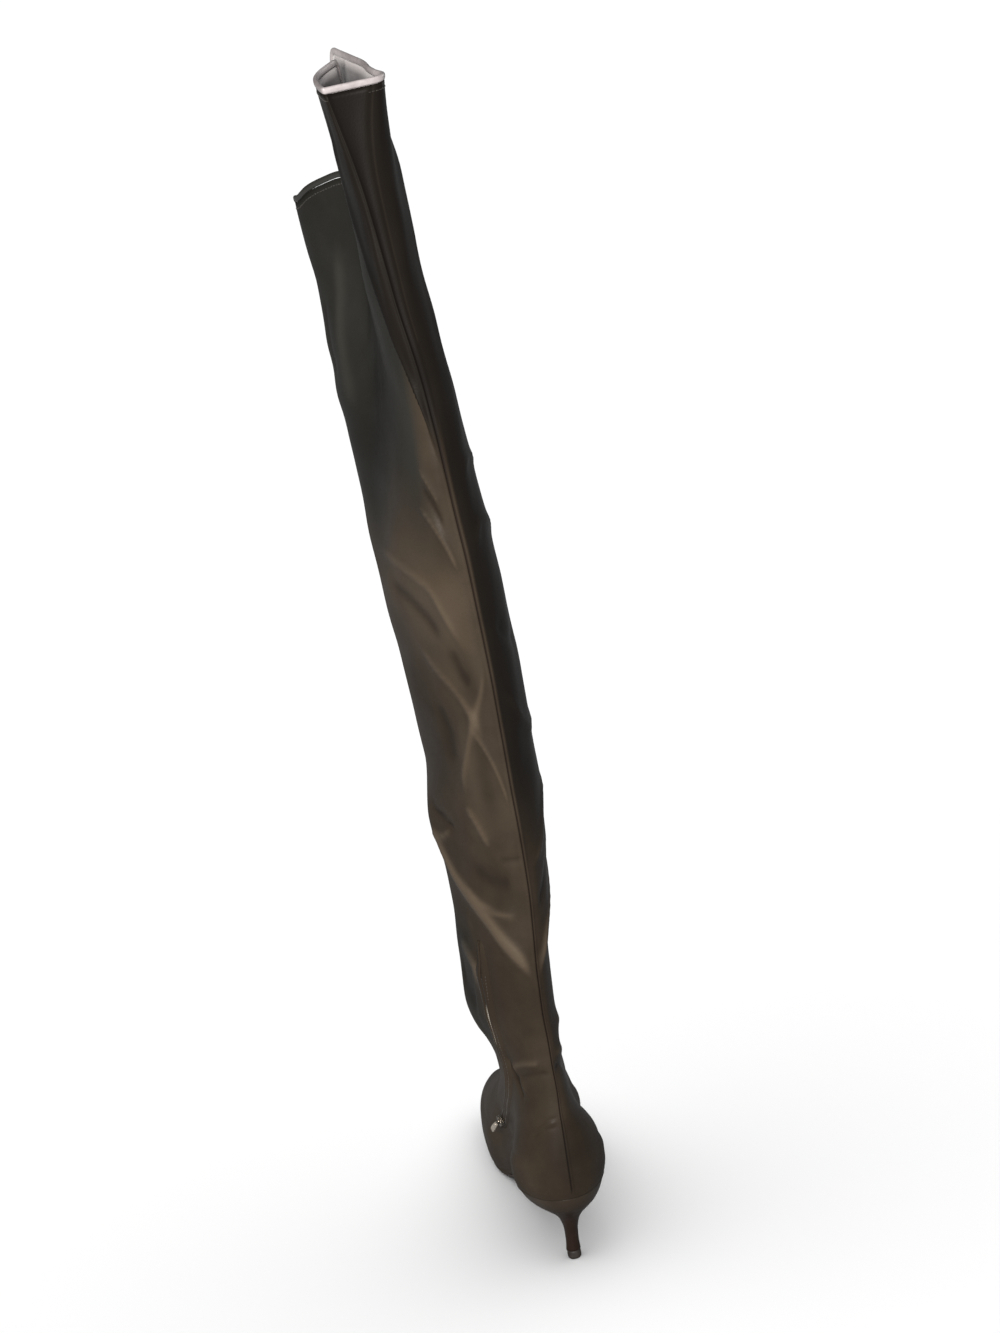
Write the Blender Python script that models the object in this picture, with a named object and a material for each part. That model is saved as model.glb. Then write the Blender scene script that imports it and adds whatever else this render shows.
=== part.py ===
"""Right foot thigh high boot: hollow slack upper on a pointed foot, covered slim heel and inner ankle zip.

Metres, toe towards +Y, wearer's right towards +X, up +Z. The origin is the middle of the heel tip's ground face.
"""
import bpy
import numpy as np

# Overall sizes
FOOT_LENGTH = 0.2540        # back of the heel to the toe tip, seen from above
HEEL_SETBACK = 0.0225       # back of the heel to the middle of the heel tip
BALL_WIDTH = 0.0740         # sole across the ball
SEAT_WIDTH = 0.0560         # sole across the heel seat
HEEL_HEIGHT = 0.0560        # ground to the back of the heel seat
TOE_HEIGHT = 0.0105         # ground to the feather line at the toe tip
ANKLE_TOP = 0.2150          # ground to the start of the shaft
BOOT_HEIGHT = 0.8050        # ground to the top of the back seam
SHAFT_DEPTH = 0.1500        # calf, back to front
SHAFT_WIDTH = 0.0660        # calf, side to side
TOPLINE_DROP = 0.0960       # how much lower the collar is in front

# Material thicknesses
WALL = 0.0018               # leather and lining together
SOLE = 0.0030               # outsole
INSOLE = 0.0020             # board and sock
GAP = 0.0003                # air left between neighbouring pieces
SEAM_RIB = 0.0006           # back seam above the leather
EDGE_WIDTH = 0.0030         # folded collar edge, across the wall
EDGE_HEIGHT = 0.0040        # folded collar edge, up and down

# Heel
STEM_WIDTH = 0.0088         # slim part of the heel
TIP_WIDTH = 0.0092          # top piece across
TIP_HEIGHT = 0.0060         # top piece up and down
SEAT_LENGTH = 0.0590        # back of the heel to the heel breast
SEAT_SHIFT = 0.0030         # how far the seat stands outwards of the top piece
TOE_SWING = 0.0050          # how far the toe tip swings inwards

# Zip
ZIP_ROW = 0.0030            # width of one row of teeth with its tape
ZIP_THICK = 0.0012
SLIDER_LENGTH = 0.0105
SLIDER_WIDTH = 0.0080
SLIDER_THICK = 0.0026
TAB_LENGTH = 0.0135
TAB_WIDTH = 0.0040
TAB_THICK = 0.0012

# Points of the grids
AROUND = 44
FOOT_ROWS = 17
SHAFT_ROWS = 23

# Half width of the sole: place along the foot, inner and outer share of the seat, inner and outer share of the ball
OUTLINE = (
    # along  seat_in seat_out ball_in ball_out
    (0.00, 0.960, 0.940, 0.000, 0.000),
    (0.06, 0.850, 0.830, 0.000, 0.000),
    (0.13, 0.770, 0.745, 0.000, 0.000),
    (0.25, 0.520, 0.530, 0.000, 0.020),
    (0.42, 0.160, 0.180, 0.170, 0.210),
    (0.56, 0.020, 0.020, 0.310, 0.410),
    (0.68, 0.000, 0.000, 0.405, 0.530),
    (0.80, 0.000, 0.000, 0.405, 0.490),
    (0.91, 0.000, 0.000, 0.395, 0.400),
    (1.00, 0.000, 0.000, 0.360, 0.330),
)

# Height of the feather line above the flat tread: place along the foot, share of the heel rise, share of the toe rise
FEATHER = (
    # along  heel    toe
    (0.000, 1.000, 0.00),
    (0.100, 0.970, 0.00),
    (0.180, 0.920, 0.00),
    (0.260, 0.820, 0.00),
    (0.340, 0.675, 0.00),
    (0.420, 0.460, 0.00),
    (0.500, 0.235, 0.00),
    (0.570, 0.070, 0.00),
    (0.640, 0.000, 0.00),
    (0.775, 0.000, 0.00),
    (0.880, 0.000, 0.38),
    (1.000, 0.000, 1.00),
)

# Rings of the wall, from the feather line (0) over the foot (1) and up the shaft (2): back of the ring and its run
# in shares of the foot length, its run in shares of the shaft depth, rise behind and in front in shares of the ankle
# height (1 and more is the ankle top), share of the foot's own outline, share of the feather line's bend
RINGS = (
    # place  back   foot_run shaft_run heel_up front_up foot_form sag
    (0.000, 0.002, 0.991, 0.000, 0.000, 0.000, 0.965, 1.00),
    (0.035, -0.006, 1.008, 0.000, 0.030, 0.022, 1.050, 0.97),
    (0.090, -0.010, 1.012, 0.000, 0.072, 0.056, 1.090, 0.92),
    (0.160, -0.012, 0.996, 0.000, 0.125, 0.098, 1.090, 0.83),
    (0.240, -0.011, 0.954, 0.000, 0.180, 0.142, 1.005, 0.70),
    (0.320, -0.007, 0.880, 0.000, 0.235, 0.186, 0.830, 0.56),
    (0.400, 0.000, 0.790, 0.000, 0.295, 0.236, 0.605, 0.43),
    (0.480, 0.008, 0.694, 0.000, 0.355, 0.294, 0.390, 0.32),
    (0.560, 0.016, 0.600, 0.010, 0.420, 0.358, 0.220, 0.22),
    (0.640, 0.022, 0.470, 0.070, 0.485, 0.428, 0.090, 0.14),
    (0.720, 0.026, 0.335, 0.190, 0.560, 0.506, 0.030, 0.08),
    (0.800, 0.027, 0.200, 0.370, 0.645, 0.596, 0.000, 0.04),
    (0.880, 0.025, 0.085, 0.550, 0.750, 0.710, 0.000, 0.01),
    (0.950, 0.021, 0.020, 0.670, 0.875, 0.850, 0.000, 0.00),
    (1.000, 0.017, 0.000, 0.730, 1.000, 1.000, 0.000, 0.00),
    (1.120, 0.002, 0.000, 0.840, 1.300, 1.360, 0.000, 0.00),
    (1.250, -0.014, 0.000, 0.950, 1.500, 1.500, 0.000, 0.00),
    (1.400, -0.028, 0.000, 1.040, 1.500, 1.500, 0.000, 0.00),
    (1.550, -0.034, 0.000, 1.080, 1.500, 1.500, 0.000, 0.00),
    (1.700, -0.034, 0.000, 1.120, 1.500, 1.500, 0.000, 0.00),
    (1.850, -0.032, 0.000, 1.170, 1.500, 1.500, 0.000, 0.00),
    (2.000, -0.028, 0.000, 1.230, 1.500, 1.500, 0.000, 0.00),
)

# Sides of the same rings in shares of the shaft width: half widths near the back and near the front,
# fold between them, lean of the middle; then the turn in degrees and the squareness of both ends
SIDES = (
    # place  in_back in_front out_back out_front fold_in fold_out lean turn square
    (0.000, 0.440, 0.440, 0.450, 0.470, 0.00, 0.00, 0.000, 0.0, 1.00),
    (0.240, 0.430, 0.440, 0.430, 0.470, 0.00, 0.00, 0.015, 0.0, 1.00),
    (0.380, 0.420, 0.430, 0.270, 0.420, 0.00, 0.00, 0.030, 0.0, 1.00),
    (0.480, 0.420, 0.410, 0.180, 0.350, 0.00, 0.00, 0.040, 0.0, 1.00),
    (0.640, 0.390, 0.380, 0.190, 0.310, 0.00, 0.00, 0.045, 1.0, 1.00),
    (0.760, 0.370, 0.390, 0.200, 0.280, 0.00, 0.00, 0.035, 2.0, 1.00),
    (0.860, 0.400, 0.470, 0.230, 0.280, 0.00, 0.00, 0.020, 3.5, 1.00),
    (0.940, 0.440, 0.570, 0.250, 0.290, 0.00, 0.00, 0.005, 4.5, 1.00),
    (1.000, 0.450, 0.540, 0.270, 0.310, 0.00, 0.00, 0.010, 5.0, 1.00),
    (1.050, 0.460, 0.510, 0.310, 0.340, 0.00, 0.00, 0.030, 5.5, 1.00),
    (1.110, 0.490, 0.540, 0.390, 0.390, 0.00, 0.00, 0.055, 6.0, 1.00),
    (1.150, 0.500, 0.580, 0.450, 0.440, 0.00, 0.00, 0.050, 6.5, 0.98),
    (1.230, 0.440, 0.460, 0.510, 0.480, 0.00, 0.00, 0.030, 7.0, 0.96),
    (1.340, 0.460, 0.480, 0.520, 0.490, 0.00, 0.00, 0.025, 7.0, 0.94),
    (1.450, 0.490, 0.530, 0.510, 0.490, 0.03, 0.00, 0.005, 7.0, 0.90),
    (1.570, 0.390, 0.530, 0.470, 0.470, 0.12, 0.02, -0.020, 6.0, 0.82),
    (1.680, 0.240, 0.560, 0.440, 0.450, 0.26, 0.05, -0.050, 5.0, 0.70),
    (1.790, 0.180, 0.470, 0.440, 0.440, 0.37, 0.08, -0.140, 4.0, 0.58),
    (1.890, 0.150, 0.450, 0.460, 0.430, 0.45, 0.10, -0.170, 2.0, 0.46),
    (2.000, 0.090, 0.350, 0.590, 0.375, 0.50, 0.03, -0.260, 0.0, 0.15),
)

# Heel below the seat: place from the seat (0) to the top piece (1), shares of the way in across and lengthways,
# share of the way down
HEEL_RINGS = (
    # place  across lengthways down
    (0.00, 0.000, 0.000, 0.000),
    (0.10, 0.010, 0.015, 0.045),
    (0.22, 0.070, 0.075, 0.130),
    (0.34, 0.210, 0.200, 0.225),
    (0.46, 0.440, 0.390, 0.310),
    (0.58, 0.700, 0.600, 0.400),
    (0.70, 0.900, 0.790, 0.520),
    (0.82, 0.990, 0.920, 0.690),
    (0.92, 1.000, 0.980, 0.850),
    (1.00, 0.975, 0.990, 1.000),
)

# Zip on the inner side: place up the wall, angle from the back seam in turns
ZIP_PATH = (
    # place  turn
    (0.320, 0.262),
    (0.400, 0.252),
    (0.500, 0.228),
    (0.600, 0.210),
    (0.700, 0.206),
    (0.800, 0.212),
    (0.900, 0.198),
    (1.010, 0.184),
)
SLIDER_PLACE = 0.385

COLOURS = {
    "upper": (0.060, 0.040, 0.030, 0.55),
    "collar_edge": (0.560, 0.530, 0.540, 0.50),
    "outsole": (0.030, 0.022, 0.018, 0.60),
    "insole": (0.480, 0.450, 0.450, 0.70),
    "heel": (0.058, 0.037, 0.028, 0.50),
    "heel_tip": (0.025, 0.022, 0.020, 0.60),
    "zip_front": (0.030, 0.024, 0.020, 0.60),
    "zip_back": (0.030, 0.024, 0.020, 0.60),
    "zip_slider": (0.450, 0.400, 0.330, 0.30),
    "pull_tab": (0.080, 0.070, 0.060, 0.35),
}


def smooth(table, at):
    """Values of a table at the places given, along a cubic that never overshoots."""
    table = np.array(table, float)
    place, value = table[:, 0], table[:, 1:]
    step = np.diff(place)[:, None]
    slope = np.diff(value, axis=0) / step
    tangent = np.zeros_like(value)
    tangent[0], tangent[-1] = slope[0], slope[-1]
    before, after = slope[:-1], slope[1:]
    same = before * after > 0
    tangent[1:-1] = np.where(same, 2 * before * after / np.where(same, before + after, 1), 0)
    at = np.asarray(at, float)
    low = np.clip(np.searchsorted(place, at, side="right") - 1, 0, len(place) - 2)
    width = step[low, 0][..., None]
    t = np.clip((at - place[low])[..., None] / width, 0, 1)
    return (value[low] * (1 + 2 * t) * (1 - t) ** 2 + tangent[low] * width * t * (1 - t) ** 2
            + value[low + 1] * t * t * (3 - 2 * t) + tangent[low + 1] * width * t * t * (t - 1))


def ease(x):
    """Smooth step from 0 to 1."""
    x = np.clip(x, 0, 1)
    return x * x * (3 - 2 * x)


def feather_height(along):
    """Height of the feather line above the ground at a place along the foot."""
    share = smooth(FEATHER, np.clip(along, 0, 1))
    tread = SOLE + GAP
    return tread + (HEEL_HEIGHT - tread) * share[..., 0] + (TOE_HEIGHT - tread) * share[..., 1]


def sole_widths(along):
    """Half widths of the sole, inner and outer, before the rounding at both ends."""
    share = smooth(OUTLINE, np.clip(along, 0, 1))
    return (SEAT_WIDTH * share[..., 0] + BALL_WIDTH * share[..., 2],
            SEAT_WIDTH * share[..., 1] + BALL_WIDTH * share[..., 3])


def topline(theta):
    """Share of the topline drop: none behind and beside, all of it at the front and inner front."""
    turn = np.mod(theta, 2 * np.pi) / (2 * np.pi)
    inner = 0.77 * ease((turn - 0.235) / 0.05) + 0.23 * ease((turn - 0.28) / 0.08)
    return inner * (1 - ease((turn - 0.605) / 0.09))


def wall(theta, place):
    """Outer face of the upper: angle from the back seam towards the inner side, place up the wall."""
    theta, place = np.broadcast_arrays(np.asarray(theta, float), np.asarray(place, float))
    ring, side = smooth(RINGS, place), smooth(SIDES, place)
    back, foot_run, shaft_run, heel_up, front_up, form, sag = np.moveaxis(ring, -1, 0)
    in_back, in_front, out_back, out_front, fold_in, fold_out, lean, turn, square = np.moveaxis(side, -1, 0)
    along = 0.5 - 0.5 * np.cos(theta)
    ahead = ease((along - 0.25) / 0.5)
    bow = np.sign(np.sin(theta)) * np.abs(np.sin(theta)) ** (square + (1 - square) * ahead)
    on_inner = np.sin(theta) > 0
    foot_in, foot_out = sole_widths(along)
    share = np.clip(form, 0, 1)
    fold = np.exp(-((along - 0.55) / 0.20) ** 2)
    inner = in_back + (in_front - in_back) * ahead - fold_in * fold
    outer = out_back + (out_front - out_back) * ahead - fold_out * fold
    plain = SHAFT_WIDTH * np.where(on_inner, inner, outer)
    half = form * np.where(on_inner, foot_in, foot_out) + (1 - share) * plain
    run = FOOT_LENGTH * foot_run + SHAFT_DEPTH * shaft_run
    x, y = -bow * half, run * (along - 0.5)
    turn = np.radians(turn)
    x, y = x * np.cos(turn) - y * np.sin(turn), x * np.sin(turn) + y * np.cos(turn)
    x = x + SHAFT_WIDTH * lean + SEAT_SHIFT - TOE_SWING * form * ease((along - 0.55) / 0.45)
    y = y - HEEL_SETBACK + FOOT_LENGTH * back + run / 2
    shaft = (BOOT_HEIGHT - ANKLE_TOP) * np.maximum(place - 1, 0)
    z_back = HEEL_HEIGHT + (ANKLE_TOP - HEEL_HEIGHT) * np.minimum(heel_up, 1) + shaft
    z_front = TOE_HEIGHT + (ANKLE_TOP - TOE_HEIGHT) * np.minimum(front_up, 1) + shaft
    z = z_back + (z_front - z_back) * along
    straight = HEEL_HEIGHT + (TOE_HEIGHT - HEEL_HEIGHT) * along
    z = z + sag * (feather_height(along) - straight)
    z = z - TOPLINE_DROP * topline(theta) * ease((place - 1.45) / 0.55)
    return np.stack([x, y, z], -1)


def outward(theta, place):
    """Direction straight out of the wall."""
    e = 1e-3
    around = wall(theta + e, place) - wall(theta - e, place)
    up = wall(theta, np.minimum(place + e, 2.0)) - wall(theta, np.maximum(place - e, 0.0))
    normal = np.cross(up, around)
    return normal / np.linalg.norm(normal, axis=-1, keepdims=True)


def leaf(theta, place, out):
    """Wall moved outwards by a distance."""
    return wall(theta, place) + outward(theta, place) * np.asarray(out, float)[..., None]


def add_mesh(name, points, faces):
    """One named solid with its own plain material, all faces outwards."""
    mesh = bpy.data.meshes.new(name)
    mesh.from_pydata(np.asarray(points).reshape(-1, 3).tolist(), [], faces)
    mesh.validate()
    part = bpy.data.objects.new(name, mesh)
    bpy.context.collection.objects.link(part)
    red, green, blue, rough = COLOURS[name]
    material = bpy.data.materials.new(name)
    material.use_nodes = True
    shader = material.node_tree.nodes["Principled BSDF"]
    shader.inputs["Base Color"].default_value = (red, green, blue, 1)
    shader.inputs["Roughness"].default_value = rough
    mesh.materials.append(material)
    return part


def tube_faces(rows, count, first=0, closed_rows=False):
    """Quads between neighbouring rings of equal count, each ring closed on itself."""
    faces = []
    for r in range(rows if closed_rows else rows - 1):
        a, b = first + r * count, first + (r + 1) % rows * count
        for c in range(count):
            d = (c + 1) % count
            faces.append((a + c, a + d, b + d, b + c))
    return faces


def face_outwards(part):
    """Turns the faces of a closed solid outwards when its volume comes out negative."""
    mesh = part.data
    volume = 0.0
    for polygon in mesh.polygons:
        corners = [mesh.vertices[i].co for i in polygon.vertices]
        for i in range(1, len(corners) - 1):
            volume += corners[0].dot(corners[i].cross(corners[i + 1]))
    if volume < 0:
        mesh.flip_normals()


def tube(name, rings, capped=True):
    """Solid through a stack of rings; both end rings are closed flat, or the last joins the first."""
    rings = np.asarray(rings)
    rows, count = rings.shape[:2]
    faces = tube_faces(rows, count, closed_rows=not capped)
    if capped:
        faces.append(tuple(range(count))[::-1])
        faces.append(tuple((rows - 1) * count + i for i in range(count)))
    part = add_mesh(name, rings, faces)
    face_outwards(part)
    return part


def angles():
    """Angles around the wall, with close lines at both edges of the back seam rib."""
    even = np.linspace(0, 2 * np.pi, AROUND, endpoint=False)[2:-1]
    return np.concatenate([[-0.085, -0.035, 0.0, 0.035, 0.085], even])


def places():
    """Places of the rows up the wall."""
    foot = np.linspace(0, 1, FOOT_ROWS)[:-1]
    return np.concatenate([foot, np.linspace(1, 2, SHAFT_ROWS)])


def make_upper():
    """Foot and shaft as one wall, open at the collar and under the foot."""
    theta, place = np.meshgrid(angles(), places())
    rib = SEAM_RIB * (np.abs(theta) < 0.05) * (place > 0.04)
    face, lining = leaf(theta, place, rib), leaf(theta, place, 0 * rib - WALL)
    lining[0, :, 2], lining[-1, :, 2] = face[0, :, 2], face[-1, :, 2]
    return tube("upper", np.concatenate([face, lining[::-1]]), capped=False)


def make_collar_edge():
    """Folded light edge that sits on the topline, square to its slope."""
    theta = angles()
    top, out = wall(theta, 2.0), outward(theta, 2.0)
    tangent = np.roll(top, -1, 0) - np.roll(top, 1, 0)
    up = np.cross(tangent, out)
    up = up * np.sign(up[:, 2:]) / np.linalg.norm(up, axis=-1, keepdims=True)
    middle = top - out * WALL / 2 + up * (GAP + EDGE_HEIGHT / 2)
    rings = []
    for a in np.linspace(0, 2 * np.pi, 8, endpoint=False) + np.pi / 8:
        across = np.sign(np.cos(a)) * abs(np.cos(a)) ** 0.6 * EDGE_WIDTH / 2
        upward = np.sign(np.sin(a)) * abs(np.sin(a)) ** 0.6 * EDGE_HEIGHT / 2
        rings.append(middle + out * across + up * upward)
    return tube("collar_edge", np.array(rings), capped=False)


def feather_line(wanted):
    """Feather line at places along the foot, straight between the wall's own points: x inside, x outside, y, z."""
    along = 0.5 - 0.5 * np.cos(np.linspace(0, np.pi, AROUND // 2 + 1))
    form, back, run = smooth(RINGS, 0.0)[[5, 0, 1]]
    inner, outer = sole_widths(along)
    bow = 2 * np.sqrt(along * (1 - along)) * form
    middle = SEAT_SHIFT - TOE_SWING * form * ease((along - 0.55) / 0.45)
    y = FOOT_LENGTH * (back + run * along) - HEEL_SETBACK
    lines = (middle - inner * bow, middle + outer * bow, y, feather_height(along))
    return along, [np.interp(wanted, along, line) for line in lines]


def sole_plate(name, first, last, inset, low, high):
    """Plate under or over the feather line, with sections at the same places as the wall."""
    along = feather_line(0.0)[0]
    along = np.concatenate([[first], along[(along > first + 0.004) & (along < last - 0.001)], [last]])
    left, right, y, z = feather_line(along)[1]
    middle = (left + right) / 2
    half = np.maximum((right - left) / 2 - inset, 0.0012)
    centre = (y[0] + y[-1]) / 2
    if first < 0.01:
        y = centre + (y - centre) * (1 - 2 * inset / (y[-1] - y[0]))
    elif last > 0.99:
        y = y[0] + (y - y[0]) * (1 - inset / (y[-1] - y[0]))
    edge = min(0.0008, (high - low) / 3)
    rings = []
    for i in range(len(along)):
        a, b = middle[i] + half[i], middle[i] - half[i]
        across = (a - edge, a, a, a - edge, b + edge, b, b, b + edge)
        up = (low, low + edge, high - edge, high, high, high - edge, low + edge, low)
        rings.append([(x, y[i], z[i] + u) for x, u in zip(across, up)])
    return tube(name, rings)


def make_outsole():
    """Thin sole from the toe tip back to the heel breast."""
    return sole_plate("outsole", SEAT_LENGTH / FOOT_LENGTH, 0.9985, 0.0004, -GAP - SOLE, -GAP)


def make_insole():
    """Board and sock inside the wall."""
    return sole_plate("insole", 0.0015, 0.9985, WALL + 2 * GAP, GAP, GAP + INSOLE)


def heel_seat_ring():
    """Outline of the heel seat seen from above: the wall's own outline behind, a hollow breast in front."""
    breast = SEAT_LENGTH / FOOT_LENGTH
    along = feather_line(0.0)[0]
    along = np.concatenate([along[along < breast - 0.004], [breast]])
    left, right, y, z = feather_line(along)[1]
    y[-1] -= GAP
    x = np.concatenate([right[::-1], left[1:]])
    y = np.concatenate([y[::-1], y[1:]])
    z = np.concatenate([z[::-1], z[1:]])
    across = np.linspace(x[-1], x[0], 8)[1:-1]
    bow = 1 - (2 * (across - x[-1]) / (x[0] - x[-1]) - 1) ** 2
    x = np.concatenate([x, across])
    y = np.concatenate([y, y[0] - 0.003 * bow])
    z = np.concatenate([z, np.full(6, z[0])])
    return np.stack([x, y, z - GAP], -1)


def make_heel():
    """Covered heel: a cup under the seat that runs into a slim stem."""
    seat = heel_seat_ring()
    direction = np.arctan2(seat[:, 0] - SEAT_SHIFT, -seat[:, 1])
    stem = np.stack([STEM_WIDTH / 2 * np.sin(direction), -STEM_WIDTH / 2 * np.cos(direction)], -1)
    bottom = TIP_HEIGHT + GAP
    rings = []
    for place in np.linspace(0, 1, 17):
        across, lengthways, down = smooth(HEEL_RINGS, place)
        level = seat[:, 2] * (1 - down) + bottom * down
        x = seat[:, 0] * (1 - across) + stem[:, 0] * across + SEAT_SHIFT * across * (1 - down)
        y = seat[:, 1] * (1 - lengthways) + stem[:, 1] * lengthways
        rings.append(np.stack([x, y, level], -1))
    return tube("heel", rings)


def make_heel_tip():
    """Rounded top piece with a flat ground face."""
    turn = np.linspace(0, 2 * np.pi, 24, endpoint=False)
    rows = ((0.00, 0.86), (0.10, 0.97), (0.35, 1.00), (0.75, 1.00), (1.00, 0.92))
    rings = [[(TIP_WIDTH / 2 * r * np.sin(t), TIP_WIDTH / 2 * r * np.cos(t), TIP_HEIGHT * h) for t in turn]
             for h, r in rows]
    return tube("heel_tip", rings)


def zip_frame(place):
    """Middle line of the zip on the wall, with the directions across and out."""
    turn = smooth(ZIP_PATH, place)[..., 0] * 2 * np.pi
    point, out = wall(turn, place), outward(turn, place)
    after = wall(smooth(ZIP_PATH, place + 0.01)[..., 0] * 2 * np.pi, place + 0.01)
    before = wall(smooth(ZIP_PATH, place - 0.01)[..., 0] * 2 * np.pi, place - 0.01)
    along = after - before
    along = along / np.linalg.norm(along, axis=-1, keepdims=True)
    across = np.cross(out, along)
    across = across / np.linalg.norm(across, axis=-1, keepdims=True)
    return point, along, across, out


def make_zip_row(name, side):
    """One row of the zip, lying on the wall along the zip line."""
    first, last = ZIP_PATH[0][0] + 0.012, ZIP_PATH[-1][0] - 0.012
    rings = []
    for place in np.linspace(first, last, 22):
        point, along, across, out = zip_frame(place)
        near, far = side * GAP, side * (GAP + ZIP_ROW)
        low, high = GAP + 0.0009, GAP + 0.0009 + ZIP_THICK
        rings.append([point + across * near + out * low, point + across * far + out * low,
                      point + across * far + out * (high - 0.0004), point + across * (near + far) / 2 + out * high,
                      point + across * near + out * high])
    return tube(name, rings)


def rounded_box(name, centre, axes, sizes):
    """Box with softened edges along three directions of its own."""
    length, width, thick = sizes
    u, v, w = axes
    rings = []
    for share, shrink in ((-0.5, 0.72), (-0.42, 0.94), (-0.3, 1.0), (0.3, 1.0), (0.42, 0.94), (0.5, 0.72)):
        ring = []
        for a in np.linspace(0, 2 * np.pi, 12, endpoint=False) + np.pi / 12:
            p = np.sign(np.cos(a)) * abs(np.cos(a)) ** 0.5 * width / 2 * shrink
            q = np.sign(np.sin(a)) * abs(np.sin(a)) ** 0.5 * thick / 2 * (0.5 + shrink / 2)
            ring.append(centre + u * share * length + v * p + w * q)
        rings.append(ring)
    return tube(name, rings)


def slider_frame():
    """Place of the slider body above the two rows of the zip."""
    point, along, across, out = zip_frame(SLIDER_PLACE)
    lift = GAP + 0.0009 + ZIP_THICK + GAP + SLIDER_THICK / 2
    return point + out * lift, along, across, out


def make_zip_slider():
    """Slider body on top of the rows."""
    centre, along, across, out = slider_frame()
    return rounded_box("zip_slider", centre, (along, across, out), (SLIDER_LENGTH, SLIDER_WIDTH, SLIDER_THICK))


def make_pull_tab():
    """Pull that hangs from the slider."""
    centre, along, across, out = slider_frame()
    pivot = centre + out * (SLIDER_THICK / 2 + GAP + TAB_THICK / 2 + 0.0002)
    down = np.array([0.0, 0.0, -1.0])
    flat = down - across * (down @ across)
    flat = flat / np.linalg.norm(flat)
    face = np.cross(across, flat)
    return rounded_box("pull_tab", pivot + flat * TAB_LENGTH / 2, (flat, across, face),
                       (TAB_LENGTH, TAB_WIDTH, TAB_THICK))


for old in list(bpy.data.objects):
    bpy.data.objects.remove(old, do_unlink=True)

make_upper()
make_collar_edge()
make_outsole()
make_insole()
make_heel()
make_heel_tip()
make_zip_row("zip_front", -1)
make_zip_row("zip_back", 1)
make_zip_slider()
make_pull_tab()
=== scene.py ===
"""Looks of the right foot thigh high boot: slack leather, lining, sole, covered heel and inner zip.

Every piece is a surface worked out with numpy on the same named sizes as the solids. Metres, toe +Y, up +Z.
"""

import bpy
import numpy as np
from mathutils import Matrix, Vector


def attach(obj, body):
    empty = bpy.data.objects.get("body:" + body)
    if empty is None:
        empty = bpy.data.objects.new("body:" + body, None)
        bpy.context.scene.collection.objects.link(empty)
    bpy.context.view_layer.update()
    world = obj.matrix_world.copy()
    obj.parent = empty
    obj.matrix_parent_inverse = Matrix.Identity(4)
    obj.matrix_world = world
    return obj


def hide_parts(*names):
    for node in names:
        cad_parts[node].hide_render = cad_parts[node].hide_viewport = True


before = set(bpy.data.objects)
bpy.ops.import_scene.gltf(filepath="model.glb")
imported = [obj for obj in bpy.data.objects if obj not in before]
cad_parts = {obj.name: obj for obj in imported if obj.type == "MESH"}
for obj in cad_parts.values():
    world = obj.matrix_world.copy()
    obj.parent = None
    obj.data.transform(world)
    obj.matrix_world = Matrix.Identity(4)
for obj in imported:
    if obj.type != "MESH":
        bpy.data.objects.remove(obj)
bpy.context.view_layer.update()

# Overall sizes
FOOT_LENGTH = 0.2540        # back of the heel to the toe tip, seen from above
HEEL_SETBACK = 0.0225       # back of the heel to the middle of the heel tip
BALL_WIDTH = 0.0740         # sole across the ball
SEAT_WIDTH = 0.0560         # sole across the heel seat
HEEL_HEIGHT = 0.0560        # ground to the back of the heel seat
TOE_HEIGHT = 0.0105         # ground to the feather line at the toe tip
ANKLE_TOP = 0.2150          # ground to the start of the shaft
BOOT_HEIGHT = 0.8050        # ground to the top of the back seam
SHAFT_DEPTH = 0.1500        # calf, back to front
SHAFT_WIDTH = 0.0660        # calf, side to side
TOPLINE_DROP = 0.0960       # how much lower the collar is in front
SHAFT_RISE = BOOT_HEIGHT - ANKLE_TOP
FOOT_WAY = 0.1600           # way up the foot part of the wall, laid flat

# Material thicknesses
WALL = 0.0018               # leather and lining together
LEATHER = 0.0009            # outer face of the leather to its inner face
LINING = 0.0011             # outer face of the leather to the lining
HANG = 0.0034               # how far the inner faces hang inside the folds
SOLE = 0.0030               # outsole
INSOLE = 0.0020             # board and sock
GAP = 0.0003                # air left between neighbouring pieces
EDGE_WIDTH = 0.0030         # folded collar edge, across the wall
EDGE_HEIGHT = 0.0040        # folded collar edge, up and down
SLACK = 0.00028             # soft unevenness of the leather
SEAM_EDGE = 0.0004          # turned edges of the back seam above the leather
SEAM_GROOVE = 0.0008        # groove between them
LAP_PROUD = 0.0014          # back of the thigh above the wall at its lap
LAP_SUNK = 0.0026           # inner side below the wall just beyond the lap
LAP_STEP = 0.0026           # how wide the step between them is

# Heel
STEM_WIDTH = 0.0088         # slim part of the heel
TIP_WIDTH = 0.0092          # top piece across
TIP_HEIGHT = 0.0060         # top piece up and down
SEAT_LENGTH = 0.0590        # back of the heel to the heel breast
SWELL = 0.0011              # swell of the leather where counter and heel meet
PLATE_END = 0.9985          # where sole and insole end, as a share of the foot length
SEAT_SHIFT = 0.0030         # how far the seat stands outwards of the top piece
TOE_SWING = 0.0050          # how far the toe tip swings inwards

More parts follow.
